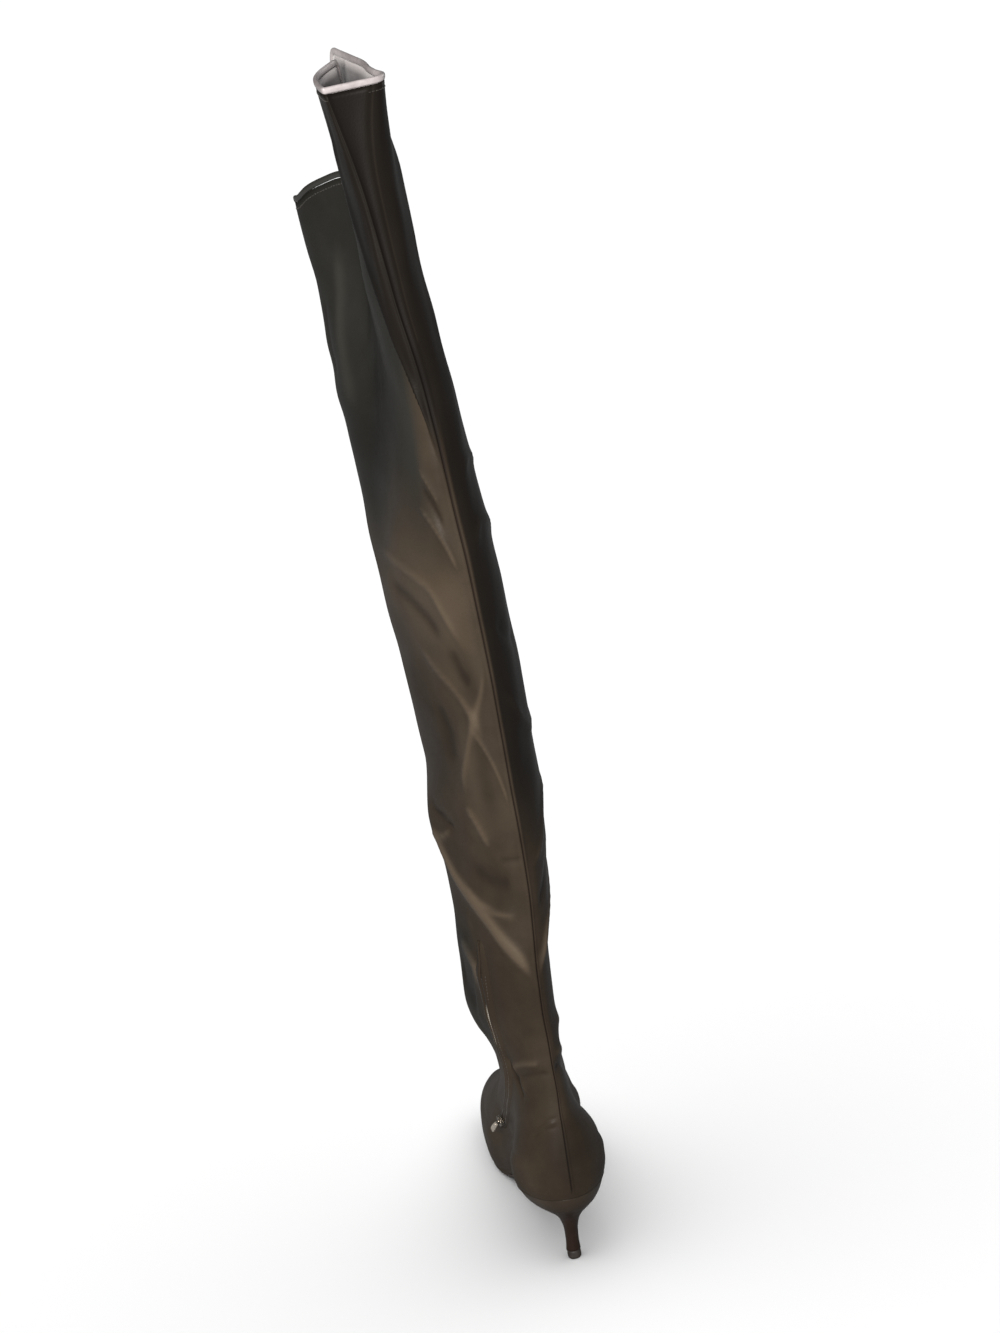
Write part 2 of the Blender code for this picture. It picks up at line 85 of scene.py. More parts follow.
# Zip
ZIP_THICK = 0.0012          # one row of teeth with its tape, out of the wall
SLIDER_LENGTH = 0.0105
SLIDER_WIDTH = 0.0080
SLIDER_THICK = 0.0026
TAB_LENGTH = 0.0135
TAB_WIDTH = 0.0040
TAB_THICK = 0.0012
EYE_PLACE = 0.0021          # hinge end of the pull to the middle of its eye
EYE_RADIUS = 0.0011
TEETH_UNDER = 0.0009        # wall to the underside of the teeth
TOOTH_PITCH = 0.0017        # one tooth to the next in its row
TOOTH_OUT = 0.00125         # zip line to the middle of a tooth, out
TOOTH_ASIDE = 0.00035       # zip line to the middle of a tooth, across
TOOTH_HALF = (0.00085, 0.00052, 0.00055)    # half a tooth across, along and out
NOSE_SIZE = (0.0026, 0.0030, 0.0022)        # nose of the slider along, across and out
NOSE_PLACE = (0.0036, -0.0003)              # its middle from the slider's, along and out
BRIDGE_HALF = 0.0031        # half the length of the slider's bridge
BRIDGE_RISE = (0.0005, 0.0020)              # foot of the bridge above the slider's middle, and its rise
BRIDGE_THICK = (0.00055, 1.8)               # its half thickness, and how many times that it is wide

# Stitches
STITCH_PITCH = 0.0024       # one stitch to the next
STITCH_LENGTH = 0.0018
THREAD_RADIUS = 0.00026
STITCH_ASIDE = 0.0031       # zip line to its stitches
STITCH_OUT = 0.00125        # stitches beside the zip above the wall
COLLAR_STITCHES = (1.9935, 0.00012)         # stitches under the collar: place up the wall, above it

# Half width of the sole: place along the foot, inner and outer share of the seat, inner and outer share
# of the ball
OUTLINE = (
    # along  seat_in seat_out ball_in ball_out
    (0.00, 0.960, 0.940, 0.000, 0.000),
    (0.06, 0.850, 0.830, 0.000, 0.000),
    (0.13, 0.770, 0.745, 0.000, 0.000),
    (0.25, 0.520, 0.530, 0.000, 0.020),
    (0.42, 0.160, 0.180, 0.170, 0.210),
    (0.56, 0.020, 0.020, 0.310, 0.410),
    (0.68, 0.000, 0.000, 0.405, 0.530),
    (0.80, 0.000, 0.000, 0.405, 0.490),
    (0.91, 0.000, 0.000, 0.395, 0.400),
    (1.00, 0.000, 0.000, 0.360, 0.330),
)

# Height of the feather line above the flat tread: place along the foot, share of the heel rise, share of
# the toe rise
FEATHER = (
    # along  heel    toe
    (0.000, 1.000, 0.00),
    (0.100, 0.970, 0.00),
    (0.180, 0.920, 0.00),
    (0.260, 0.820, 0.00),
    (0.340, 0.675, 0.00),
    (0.420, 0.460, 0.00),
    (0.500, 0.235, 0.00),
    (0.570, 0.070, 0.00),
    (0.640, 0.000, 0.00),
    (0.775, 0.000, 0.00),
    (0.880, 0.000, 0.38),
    (1.000, 0.000, 1.00),
)

# Rings of the wall, from the feather line (0) over the foot (1) and up the shaft (2): back of the ring and
# its run in shares of the foot length, its run in shares of the shaft depth, rise behind and in front in
# shares of the ankle height (1 and more is the ankle top), share of the foot's own outline, share of the
# feather line's bend
RINGS = (
    # place  back   foot_run shaft_run heel_up front_up foot_form sag
    (0.000, 0.002, 0.991, 0.000, 0.000, 0.000, 0.965, 1.00),
    (0.035, -0.006, 1.008, 0.000, 0.030, 0.022, 1.050, 0.97),
    (0.090, -0.010, 1.012, 0.000, 0.072, 0.056, 1.090, 0.92),
    (0.160, -0.012, 0.996, 0.000, 0.125, 0.098, 1.090, 0.83),
    (0.240, -0.011, 0.954, 0.000, 0.180, 0.142, 1.005, 0.70),
    (0.320, -0.007, 0.880, 0.000, 0.235, 0.186, 0.830, 0.56),
    (0.400, 0.000, 0.790, 0.000, 0.295, 0.236, 0.605, 0.43),
    (0.480, 0.008, 0.694, 0.000, 0.355, 0.294, 0.390, 0.32),
    (0.560, 0.016, 0.600, 0.010, 0.420, 0.358, 0.220, 0.22),
    (0.640, 0.022, 0.470, 0.070, 0.485, 0.428, 0.090, 0.14),
    (0.720, 0.026, 0.335, 0.190, 0.560, 0.506, 0.030, 0.08),
    (0.800, 0.027, 0.200, 0.370, 0.645, 0.596, 0.000, 0.04),
    (0.880, 0.025, 0.085, 0.550, 0.750, 0.710, 0.000, 0.01),
    (0.950, 0.021, 0.020, 0.670, 0.875, 0.850, 0.000, 0.00),
    (1.000, 0.017, 0.000, 0.730, 1.000, 1.000, 0.000, 0.00),
    (1.120, 0.002, 0.000, 0.840, 1.300, 1.360, 0.000, 0.00),
    (1.250, -0.014, 0.000, 0.950, 1.500, 1.500, 0.000, 0.00),
    (1.400, -0.028, 0.000, 1.040, 1.500, 1.500, 0.000, 0.00),
    (1.550, -0.034, 0.000, 1.080, 1.500, 1.500, 0.000, 0.00),
    (1.700, -0.034, 0.000, 1.120, 1.500, 1.500, 0.000, 0.00),
    (1.850, -0.032, 0.000, 1.170, 1.500, 1.500, 0.000, 0.00),
    (2.000, -0.028, 0.000, 1.230, 1.500, 1.500, 0.000, 0.00),
)

# Sides of the same rings in shares of the shaft width: half widths near the back and near the front,
# fold between them, lean of the middle; then the turn in degrees and the squareness of both ends
SIDES = (
    # place  in_back in_front out_back out_front fold_in fold_out lean turn square
    (0.000, 0.440, 0.440, 0.450, 0.470, 0.00, 0.00, 0.000, 0.0, 1.00),
    (0.240, 0.430, 0.440, 0.430, 0.470, 0.00, 0.00, 0.015, 0.0, 1.00),
    (0.380, 0.420, 0.430, 0.270, 0.420, 0.00, 0.00, 0.030, 0.0, 1.00),
    (0.480, 0.420, 0.410, 0.180, 0.350, 0.00, 0.00, 0.040, 0.0, 1.00),
    (0.640, 0.390, 0.380, 0.190, 0.310, 0.00, 0.00, 0.045, 1.0, 1.00),
    (0.760, 0.370, 0.390, 0.200, 0.280, 0.00, 0.00, 0.035, 2.0, 1.00),
    (0.860, 0.400, 0.470, 0.230, 0.280, 0.00, 0.00, 0.020, 3.5, 1.00),
    (0.940, 0.440, 0.570, 0.250, 0.290, 0.00, 0.00, 0.005, 4.5, 1.00),
    (1.000, 0.450, 0.540, 0.270, 0.310, 0.00, 0.00, 0.010, 5.0, 1.00),
    (1.050, 0.460, 0.510, 0.310, 0.340, 0.00, 0.00, 0.030, 5.5, 1.00),
    (1.110, 0.490, 0.540, 0.390, 0.390, 0.00, 0.00, 0.055, 6.0, 1.00),
    (1.150, 0.500, 0.580, 0.450, 0.440, 0.00, 0.00, 0.050, 6.5, 0.98),
    (1.230, 0.440, 0.460, 0.510, 0.480, 0.00, 0.00, 0.030, 7.0, 0.96),
    (1.340, 0.460, 0.480, 0.520, 0.490, 0.00, 0.00, 0.025, 7.0, 0.94),
    (1.450, 0.490, 0.530, 0.510, 0.490, 0.03, 0.00, 0.005, 7.0, 0.90),
    (1.570, 0.390, 0.530, 0.470, 0.470, 0.12, 0.02, -0.020, 6.0, 0.82),
    (1.680, 0.240, 0.560, 0.440, 0.450, 0.26, 0.05, -0.050, 5.0, 0.70),
    (1.790, 0.180, 0.470, 0.440, 0.440, 0.37, 0.08, -0.140, 4.0, 0.58),
    (1.890, 0.150, 0.450, 0.460, 0.430, 0.45, 0.10, -0.170, 2.0, 0.46),
    (2.000, 0.090, 0.350, 0.590, 0.375, 0.50, 0.03, -0.260, 0.0, 0.15),
)

# Heel below the seat: place from the seat (0) to the top piece (1), shares of the way in across and
# lengthways, share of the way down
HEEL_RINGS = (
    # place  across lengthways down
    (0.00, 0.000, 0.000, 0.000),
    (0.10, 0.010, 0.015, 0.045),
    (0.22, 0.070, 0.075, 0.130),
    (0.34, 0.210, 0.200, 0.225),
    (0.46, 0.440, 0.390, 0.310),
    (0.58, 0.700, 0.600, 0.400),
    (0.70, 0.900, 0.790, 0.520),
    (0.82, 0.990, 0.920, 0.690),
    (0.92, 1.000, 0.980, 0.850),
    (1.00, 0.975, 0.990, 1.000),
)

# Zip on the inner side: place up the wall, angle from the back seam in turns
ZIP_PATH = (
    # place  turn
    (0.320, 0.262),
    (0.400, 0.252),
    (0.500, 0.228),
    (0.600, 0.210),
    (0.700, 0.206),
    (0.800, 0.212),
    (0.900, 0.198),
    (1.010, 0.184),
)
SLIDER_PLACE = 0.385
ZIP_FIRST, ZIP_LAST = ZIP_PATH[0][0] + 0.012, ZIP_PATH[-1][0] - 0.012

# Folds of the slack leather: half width and height in millimetres (below zero is a trough),
# then the points of the crest as turn from the back seam and place up the wall
FOLDS = (
    # inner side and back of the ankle
    (5.5, 3.0, ((0.300, 1.165), (0.272, 1.145), (0.228, 1.110), (0.172, 1.085), (0.106, 1.055),
      (0.039, 1.020), (0.006, 0.990))),
    (3.6, 1.7, ((0.200, 1.108), (0.156, 1.090), (0.067, 1.080), (0.030, 1.078))),
    (9.0, -1.3, ((0.160, 1.135), (0.110, 1.122), (0.040, 1.118))),
    (2.2, -1.3, ((0.080, 1.152), (0.040, 1.150), (0.000, 1.150))),
    (3.0, 1.5, ((0.290, 1.150), (0.250, 1.152), (0.200, 1.172))),
    (2.6, -1.8, ((0.290, 1.185), (0.239, 1.178), (0.190, 1.170))),
    (4.0, 1.6, ((0.150, 1.210), (0.117, 1.188), (0.085, 1.160))),
    (3.4, 1.3, ((0.090, 1.310), (0.060, 1.285), (0.035, 1.255), (0.020, 1.225), (0.014, 1.205))),
    (5.0, 1.5, ((0.200, 1.400), (0.167, 1.378), (0.111, 1.350), (0.067, 1.312), (0.050, 1.290))),
    (4.5, 1.4, ((0.010, 1.385), (0.030, 1.355), (0.061, 1.325), (0.106, 1.280), (0.136, 1.240),
      (0.146, 1.205))),
    (8.0, -1.5, ((0.100, 1.400), (0.085, 1.370), (0.060, 1.350))),
    (8.0, -1.4, ((0.180, 1.330), (0.160, 1.290), (0.165, 1.250))),
    # inner side of the knee and the thigh
    (3.4, 1.4, ((0.085, 1.605), (0.060, 1.585), (0.033, 1.556))),
    (3.4, 1.6, ((0.110, 1.565), (0.070, 1.540), (0.040, 1.512), (0.022, 1.480))),
    (4.0, -1.5, ((0.090, 1.585), (0.060, 1.560), (0.036, 1.535))),
    (5.0, 1.6, ((0.300, 1.480), (0.240, 1.482), (0.189, 1.480), (0.117, 1.468), (0.083, 1.430),
      (0.055, 1.390))),
    (7.0, -1.6, ((0.260, 1.450), (0.200, 1.445), (0.150, 1.430), (0.110, 1.400))),
    (6.5, 1.5, ((0.305, 1.960), (0.308, 1.880), (0.318, 1.800), (0.312, 1.720), (0.300, 1.650))),
    (5.0, -1.3, ((0.345, 1.900), (0.352, 1.820), (0.345, 1.740))),
    # ankle and counter
    (3.4, -1.2, ((0.185, 0.690), (0.130, 0.715), (0.094, 0.730), (0.033, 0.728), (0.000, 0.722))),
    (4.0, 1.4, ((0.170, 0.755), (0.100, 0.775), (0.040, 0.775))),
    (5.0, 2.2, ((0.262, 1.030), (0.235, 1.012), (0.205, 0.995), (0.180, 0.970))),
    (6.0, -2.0, ((0.300, 0.985), (0.270, 0.960), (0.235, 0.935))),
    (5.0, 2.0, ((0.400, 0.950), (0.345, 0.915), (0.300, 0.880), (0.262, 0.850))),
    (1.4, -0.5, ((0.070, 0.450), (0.039, 0.492), (0.011, 0.503))),
    (1.4, -0.5, ((0.082, 0.400), (0.050, 0.440), (0.015, 0.452))),
    (1.6, 0.4, ((0.078, 0.425), (0.046, 0.468), (0.013, 0.478))),
    (1.5, -2.2, ((0.197, 0.805), (0.180, 0.748), (0.154, 0.682), (0.122, 0.595))),
    (2.2, 1.0, ((0.170, 0.790), (0.152, 0.735), (0.130, 0.680), (0.104, 0.610))),
    # instep and front of the ankle
    (4.5, 2.2, ((0.330, 0.800), (0.400, 0.770), (0.500, 0.755), (0.590, 0.775), (0.660, 0.810))),
    (3.8, -1.9, ((0.340, 0.850), (0.420, 0.815), (0.500, 0.805), (0.580, 0.820), (0.650, 0.860))),
    (5.0, 2.4, ((0.350, 0.905), (0.430, 0.868), (0.500, 0.858), (0.570, 0.872), (0.680, 0.930))),
    (4.5, -1.6, ((0.380, 0.960), (0.450, 0.935), (0.540, 0.930), (0.620, 0.960))),
    (5.5, 2.0, ((0.400, 1.010), (0.480, 0.990), (0.560, 1.000), (0.650, 1.050))),
    # outer side
    (5.5, 2.6, ((0.994, 1.000), (0.950, 1.030), (0.890, 1.065), (0.820, 1.085), (0.740, 1.125),
      (0.690, 1.150))),
    (6.0, -1.8, ((0.960, 1.080), (0.900, 1.110), (0.840, 1.135))),
    (4.0, 1.5, ((0.985, 1.130), (0.930, 1.150), (0.860, 1.200), (0.800, 1.215))),
    (3.2, -1.6, ((0.990, 0.735), (0.930, 0.745), (0.860, 0.720), (0.800, 0.690))),
    (4.0, 1.5, ((0.980, 0.790), (0.900, 0.800), (0.820, 0.770), (0.740, 0.760))),
    (4.5, 1.8, ((0.900, 0.900), (0.830, 0.880), (0.760, 0.860), (0.700, 0.850))),
    (5.0, 1.4, ((0.975, 1.350), (0.920, 1.300), (0.870, 1.280), (0.800, 1.290))),
    (6.0, -1.4, ((0.960, 1.420), (0.900, 1.390), (0.850, 1.380))),
    (5.0, 1.6, ((0.980, 1.500), (0.930, 1.530), (0.870, 1.520), (0.780, 1.480))),
    (4.0, 1.3, ((0.960, 1.590), (0.900, 1.600), (0.840, 1.580))),
    (7.0, 1.5, ((0.890, 1.960), (0.880, 1.870), (0.895, 1.780), (0.900, 1.700))),
    (8.0, -1.8, ((0.820, 1.980), (0.815, 1.880), (0.830, 1.780), (0.850, 1.680))),
    (7.0, 1.3, ((0.740, 1.940), (0.735, 1.850), (0.745, 1.750))),
    # front of the shin, knee and thigh
    (6.0, 1.6, ((0.430, 1.180), (0.490, 1.160), (0.560, 1.185), (0.610, 1.220))),
    (6.0, -1.5, ((0.420, 1.230), (0.500, 1.215), (0.570, 1.240))),
    (5.5, 1.7, ((0.400, 1.430), (0.460, 1.410), (0.530, 1.420), (0.600, 1.450))),
    (5.0, -1.6, ((0.410, 1.470), (0.480, 1.455), (0.560, 1.470))),
    (5.5, 1.7, ((0.380, 1.520), (0.450, 1.500), (0.540, 1.510), (0.620, 1.540))),
    (8.0, 1.2, ((0.460, 1.900), (0.470, 1.800), (0.455, 1.700))),
    (9.0, -1.2, ((0.560, 1.900), (0.550, 1.800), (0.565, 1.680))),
)


# Line where the back of the thigh laps over its inner side: turn from the back seam, place up the wall
LAP_LINE = (
    # turn  place
    (0.004, 1.600),
    (0.011, 1.630),
    (0.028, 1.665),
    (0.050, 1.700),
    (0.070, 1.740),
    (0.083, 1.775),
    (0.100, 1.815),
    (0.111, 1.840),
    (0.120, 1.865),
    (0.122, 1.890),
    (0.118, 1.920),
    (0.111, 1.945),
    (0.103, 1.970),
    (0.094, 2.000),
)

# Softly edged patches of painted shade (above zero) and painted highlight (below zero)
TONE_PATCHES = (
    # turn  place  half widths  change
    (0.260, 1.630, 0.120, 0.090, 0.50),
    (0.080, 0.620, 0.080, 0.120, 0.30),
    (0.985, 0.250, 0.060, 0.250, 0.55),
    (0.080, 1.110, 0.055, 0.040, 0.35),
    (0.052, 1.512, 0.030, 0.030, 0.34),
    (0.048, 1.566, 0.022, 0.018, 0.26),
    (0.060, 1.366, 0.024, 0.026, 0.34),
    (0.072, 1.235, 0.026, 0.050, 0.28),
    (0.235, 1.320, 0.055, 0.090, 0.34),
    (0.170, 1.440, 0.110, 0.070, -0.60),
    (0.060, 1.435, 0.040, 0.040, -0.35),
    (0.112, 1.255, 0.024, 0.070, -0.40),
    (0.100, 1.640, 0.045, 0.060, -0.50),
)

# How the top of the collar has settled, in millimetres: turn from the back seam, way outwards in x, way up
COLLAR_REST = (
    # turn    x      z
    (0.000, 0.0, 0.0),
    (0.270, 0.0, 0.0),
    (0.300, 0.0, 2.0),
    (0.335, -3.0, 6.0),
    (0.365, -4.0, 5.0),
    (0.400, -1.0, -3.0),
    (0.450, 0.0, -8.0),
    (0.600, 0.0, -8.0),
    (0.670, 0.0, 0.0),
    (0.720, -2.0, 0.0),
    (0.780, -6.0, 0.0),
    (0.840, -8.0, 0.0),
    (0.880, -6.0, 0.0),
    (0.930, -1.0, 0.0),
    (1.000, 0.0, 0.0),
)

# Top piece: height and radius of its rings, in shares of its own
TIP_PROFILE = ((0.00, 0.30), (0.00, 0.80), (0.03, 0.90), (0.10, 0.965), (0.25, 1.0), (0.50, 1.02),
               (0.75, 1.0), (0.92, 0.97), (0.985, 0.93), (1.0, 0.86), (1.0, 0.40))

# Section of the leather edge beside the zip and of the tape under it: across and out, in millimetres
PLACKET_PROFILE = ((0.00, 0.9), (0.00, 1.35), (0.12, 1.85), (0.55, 2.15), (1.3, 2.05), (2.4, 1.45),
                   (3.6, 0.70), (4.8, 0.18), (5.4, -0.20), (3.6, -0.1), (1.4, 0.2))
TAPE_PROFILE = ((0.05, 0.5), (0.05, 0.95), (2.4, 0.95), (3.2, 0.8), (3.2, 0.4))

# Places where the slot over the zip stands open: place up the wall, millimetres more on each side, reach
ZIP_GAPES = ((0.93, 0.50, 0.035), (0.42, 0.45, 0.03), (0.80, 0.25, 0.02))

# Rings of one tooth and of one stitch from end to end: place, width; for the stitch also how deep it is sunk
TOOTH_RINGS = ((-1.0, 0.45), (-0.85, 0.85), (0.2, 1.0), (0.9, 0.85), (1.0, 0.5))
STITCH_RINGS = ((-1.0, 0.35, -0.9), (-0.8, 0.8, -0.3), (-0.35, 1.0, 0.0), (0.35, 1.0, 0.0), (0.8, 0.8, -0.3),
                (1.0, 0.35, -0.9))

# Rings of the pull: share of the way from its eye to its outline, half thickness (below zero on the back)
PULL_RINGS = ((0.0, 0.55), (0.06, 0.80), (0.22, 0.80), (0.30, 0.62), (0.78, 0.62), (0.86, 0.92), (0.95, 1.0),
              (1.0, 0.72), (1.0, -0.72), (0.95, -1.0), (0.5, -0.85), (0.06, -0.80), (0.0, -0.55))

# Colours, linear
WARM_LIGHT, WARM_DARK = (0.046, 0.0345, 0.0235, 1), (0.026, 0.0190, 0.0130, 1)
# Painted reflection of cooler, dimmer light on the inner thigh and over the instep
COOL_REFLECTION_LIGHT, COOL_REFLECTION_DARK = (0.019, 0.019, 0.017, 1), (0.012, 0.012, 0.010, 1)
# Painted shade for the outer side and the back of the thigh, and the cooler grey of the painted highlights
SHADE_BROWN, PAINTED_HIGHLIGHT_COOL = (0.0042, 0.0035, 0.0031, 1), (0.050, 0.048, 0.041, 1)
# Painted highlight for fold crests and light patches, and a dark that darkens the pores and paints shade in
# fold troughs
PAINTED_HIGHLIGHT, PORE_DARK_AND_TROUGH_SHADE = (0.118, 0.090, 0.064, 1), (0.007, 0.005, 0.004, 1)
SEAM_DARK = (0.006, 0.003, 0.003, 1)
STEM_LIGHT, STEM_DARK = (0.022, 0.012, 0.008, 1), (0.012, 0.006, 0.004, 1)
LINING_LIGHT, LINING_DARK = (0.56, 0.53, 0.53, 1), (0.42, 0.39, 0.40, 1)
# Painted shade on the lining deep inside the shaft
LINING_SHADE = (0.055, 0.050, 0.053, 1)
EDGE_LIGHT, EDGE_DARK = (0.46, 0.43, 0.435, 1), (0.28, 0.25, 0.255, 1)
SOLE_LIGHT, SOLE_DARK, SOLE_WORN = (0.045, 0.030, 0.021, 1), (0.022, 0.015, 0.012, 1), (0.16, 0.11, 0.075, 1)
TIP_LIGHT, TIP_DARK = (0.030, 0.024, 0.021, 1), (0.014, 0.011, 0.010, 1)
TAPE_LIGHT, TAPE_DARK = (0.020, 0.016, 0.013, 1), (0.010, 0.008, 0.007, 1)
# The third tooth colour is painted shade on the teeth inside the shut slot
TOOTH_LIGHT, TOOTH_DARK, TOOTH_SHADE = (0.66, 0.62, 0.55, 1), (0.40, 0.36, 0.31, 1), (0.050, 0.042, 0.035, 1)
SLIDER_LIGHT, SLIDER_DARK = (0.20, 0.175, 0.145, 1), (0.085, 0.072, 0.060, 1)
TAB_LIGHT, TAB_DARK = (0.66, 0.61, 0.53, 1), (0.44, 0.39, 0.33, 1)
THREAD_LIGHT, THREAD_DARK = (0.026, 0.020, 0.015, 1), (0.014, 0.011, 0.008, 1)

# Light: strengths of the room and the lamps, how white room and floor look to the camera and to the boot
ROOM_LIGHT, SKY_LIGHT, KEY_LIGHT, SIDE_LIGHT, FRONT_LIGHT, INSIDE_LIGHT = 0.05, 3.6, 165.0, 14.0, 7.0, 7.0
ROOM_SEEN, FLOOR_SEEN, FLOOR_UNSEEN = 1.02, (0.88, 0.88, 0.88, 1), (0.30, 0.30, 0.30, 1)
LAMP_AIM = (0, 0.03, 0.42)

# Camera, fitted to the photograph: degrees, metres, and its lens and shift in picture heights
CAMERA_TURN, CAMERA_ROLL, CAMERA_AWAY, CAMERA_HEIGHT, CAMERA_AIM = 7.0, 11.0, 2.04, 1.18, (0.0, 0.03, 0.40)
CAMERA_LENS, CAMERA_SHIFT = 3460 / 1333, (39.5 / 1333, 28.4 / 1333)

# Node groups made so far
GROUPS = {}


def smooth(table, at):
    """Values of a table at the places given, along a cubic that never overshoots."""
    table = np.array(table, float)
    place, value = table[:, 0], table[:, 1:]
    step = np.diff(place)[:, None]
    slope = np.diff(value, axis=0) / step
    tangent = np.zeros_like(value)
    tangent[0], tangent[-1] = slope[0], slope[-1]
    before, after = slope[:-1], slope[1:]
    same = before * after > 0
    tangent[1:-1] = np.where(same, 2 * before * after / np.where(same, before + after, 1), 0)
    at = np.asarray(at, float)
    low = np.clip(np.searchsorted(place, at, side="right") - 1, 0, len(place) - 2)
    width = step[low, 0][..., None]
    t = np.clip((at - place[low])[..., None] / width, 0, 1)
    return (value[low] * (1 + 2 * t) * (1 - t) ** 2 + tangent[low] * width * t * (1 - t) ** 2
            + value[low + 1] * t * t * (3 - 2 * t) + tangent[low + 1] * width * t * t * (t - 1))


def ease(x):
    """Smooth step from 0 to 1."""
    x = np.clip(x, 0, 1)
    return x * x * (3 - 2 * x)


def rounded(value, power):
    """Value with its size raised to a power, its sign kept; below 1 this squares up a sine."""
    return np.sign(value) * np.abs(value) ** power


def unit(ways):
    """Vectors brought to length 1."""
    return ways / np.linalg.norm(ways, axis=-1, keepdims=True)


def circle(count):
    """Angles spread evenly over a full turn."""
    return np.linspace(0, 2 * np.pi, count, endpoint=False)


def turn_of(theta):
    """Angle as a share of the full turn from the back seam."""
    return np.mod(theta, 2 * np.pi) / (2 * np.pi)


def way_along(points):
    """Length along a row of points, from the first of them."""
    return np.concatenate([[0], np.cumsum(np.linalg.norm(np.diff(points, axis=0), axis=1))])


def feather_height(along):
    """Height of the feather line above the ground at a place along the foot."""
    share = smooth(FEATHER, np.clip(along, 0, 1))
    tread = SOLE + GAP
    return tread + (HEEL_HEIGHT - tread) * share[..., 0] + (TOE_HEIGHT - tread) * share[..., 1]


def sole_widths(along):
    """Half widths of the sole, inner and outer, before the rounding at both ends."""
    share = smooth(OUTLINE, np.clip(along, 0, 1))
    return (SEAT_WIDTH * share[..., 0] + BALL_WIDTH * share[..., 2],
            SEAT_WIDTH * share[..., 1] + BALL_WIDTH * share[..., 3])


def topline(theta):
    """Share of the topline drop: none behind and beside, all of it at the front and inner front."""
    turn = turn_of(theta)
    inner = 0.77 * ease((turn - 0.235) / 0.05) + 0.23 * ease((turn - 0.28) / 0.08)
    return inner * (1 - ease((turn - 0.605) / 0.09))


def wall(theta, place):
    """Outer face of the upper: angle from the back seam towards the inner side, place up the wall."""
    theta, place = np.broadcast_arrays(np.asarray(theta, float), np.asarray(place, float))
    ring, side = smooth(RINGS, place), smooth(SIDES, place)
    back, foot_run, shaft_run, heel_up, front_up, form, sag = np.moveaxis(ring, -1, 0)
    in_back, in_front, out_back, out_front, fold_in, fold_out, lean, turn, square = np.moveaxis(side, -1, 0)
    along = 0.5 - 0.5 * np.cos(theta)
    ahead = ease((along - 0.25) / 0.5)
    bow = rounded(np.sin(theta), square + (1 - square) * ahead)
    on_inner = np.sin(theta) > 0
    foot_in, foot_out = sole_widths(along)
    fold = np.exp(-((along - 0.55) / 0.20) ** 2)
    inner = in_back + (in_front - in_back) * ahead - fold_in * fold
    outer = out_back + (out_front - out_back) * ahead - fold_out * fold
    plain = SHAFT_WIDTH * np.where(on_inner, inner, outer)
    half = form * np.where(on_inner, foot_in, foot_out) + (1 - np.clip(form, 0, 1)) * plain
    run = FOOT_LENGTH * foot_run + SHAFT_DEPTH * shaft_run
    x, y = -bow * half, run * (along - 0.5)
    turn = np.radians(turn)
    x, y = x * np.cos(turn) - y * np.sin(turn), x * np.sin(turn) + y * np.cos(turn)
    x = x + SHAFT_WIDTH * lean + SEAT_SHIFT - TOE_SWING * form * ease((along - 0.55) / 0.45)
    y = y - HEEL_SETBACK + FOOT_LENGTH * back + run / 2
    shaft = SHAFT_RISE * np.maximum(place - 1, 0)
    z_back = HEEL_HEIGHT + (ANKLE_TOP - HEEL_HEIGHT) * np.minimum(heel_up, 1) + shaft
    z_front = TOE_HEIGHT + (ANKLE_TOP - TOE_HEIGHT) * np.minimum(front_up, 1) + shaft
    straight = HEEL_HEIGHT + (TOE_HEIGHT - HEEL_HEIGHT) * along
    z = z_back + (z_front - z_back) * along + sag * (feather_height(along) - straight)
    z = z - TOPLINE_DROP * topline(theta) * ease((place - 1.45) / 0.55)
    return np.stack([x, y, z], -1)


def outward(theta, place):
    """Unit vector straight out of the wall: cross product of two small steps, up the wall and around it."""
    e = 1e-3
    around = wall(theta + e, place) - wall(theta - e, place)
    up = wall(theta, np.minimum(place + e, 2.0)) - wall(theta, np.maximum(place - e, 0.0))
    return unit(np.cross(up, around))


GIRTH_PLACES = np.linspace(0, 2, 60)
GIRTH_RINGS = wall(np.linspace(0, 2 * np.pi, 121), GIRTH_PLACES[:, None])
GIRTHS = np.linalg.norm(np.diff(GIRTH_RINGS, axis=1), axis=-1).sum(1)


def wall_girth(place):
    """Length round the wall at a place."""
    return np.interp(place, GIRTH_PLACES, GIRTHS)


def wall_way(place):
    """Way up the wall laid flat: 160 mm over the foot, then the rise of the shaft."""
    return np.interp(place, (0, 1, 2), (0, FOOT_WAY, FOOT_WAY + SHAFT_RISE))


def unrolled(theta, place):
    """Place on the wall laid flat, in metres: wrapped angle / (2 pi) x girth, and way up."""
    turn = (np.asarray(theta) / (2 * np.pi) + 0.5) % 1.0 - 0.5
    return turn * wall_girth(place), wall_way(place)


def way_to_line(s, h, line):
    """Least distance from flat points to a bent line, and the share of the line's length where it is met."""
    start = way_along(line)
    best, where = np.full(s.shape, 1e9), np.zeros(s.shape)
    for i, length in enumerate(np.diff(start)):
        along = (line[i + 1] - line[i]) / length
        t = np.clip((s - line[i, 0]) * along[0] + (h - line[i, 1]) * along[1], 0, length)
        gap = np.hypot(s - line[i, 0] - t * along[0], h - line[i, 1] - t * along[1])
        closer = gap < best
        best, where = np.where(closer, gap, best), np.where(closer, (start[i] + t) / start[-1], where)
    return best, where


def bent_line(points, count=25):
    """Smooth line through (turn, place) points: turn, girth and way; the turn may cross the back seam."""
    turn, place = np.array(points).T
    turn = np.where(turn - turn[0] < -0.5, turn + 1, np.where(turn - turn[0] > 0.5, turn - 1, turn))
    at = np.linspace(0, 1, len(turn))
    turn, place = smooth(np.stack([at, turn, place], 1), np.linspace(0, 1, count)).T
    return turn, wall_girth(place), wall_way(place)


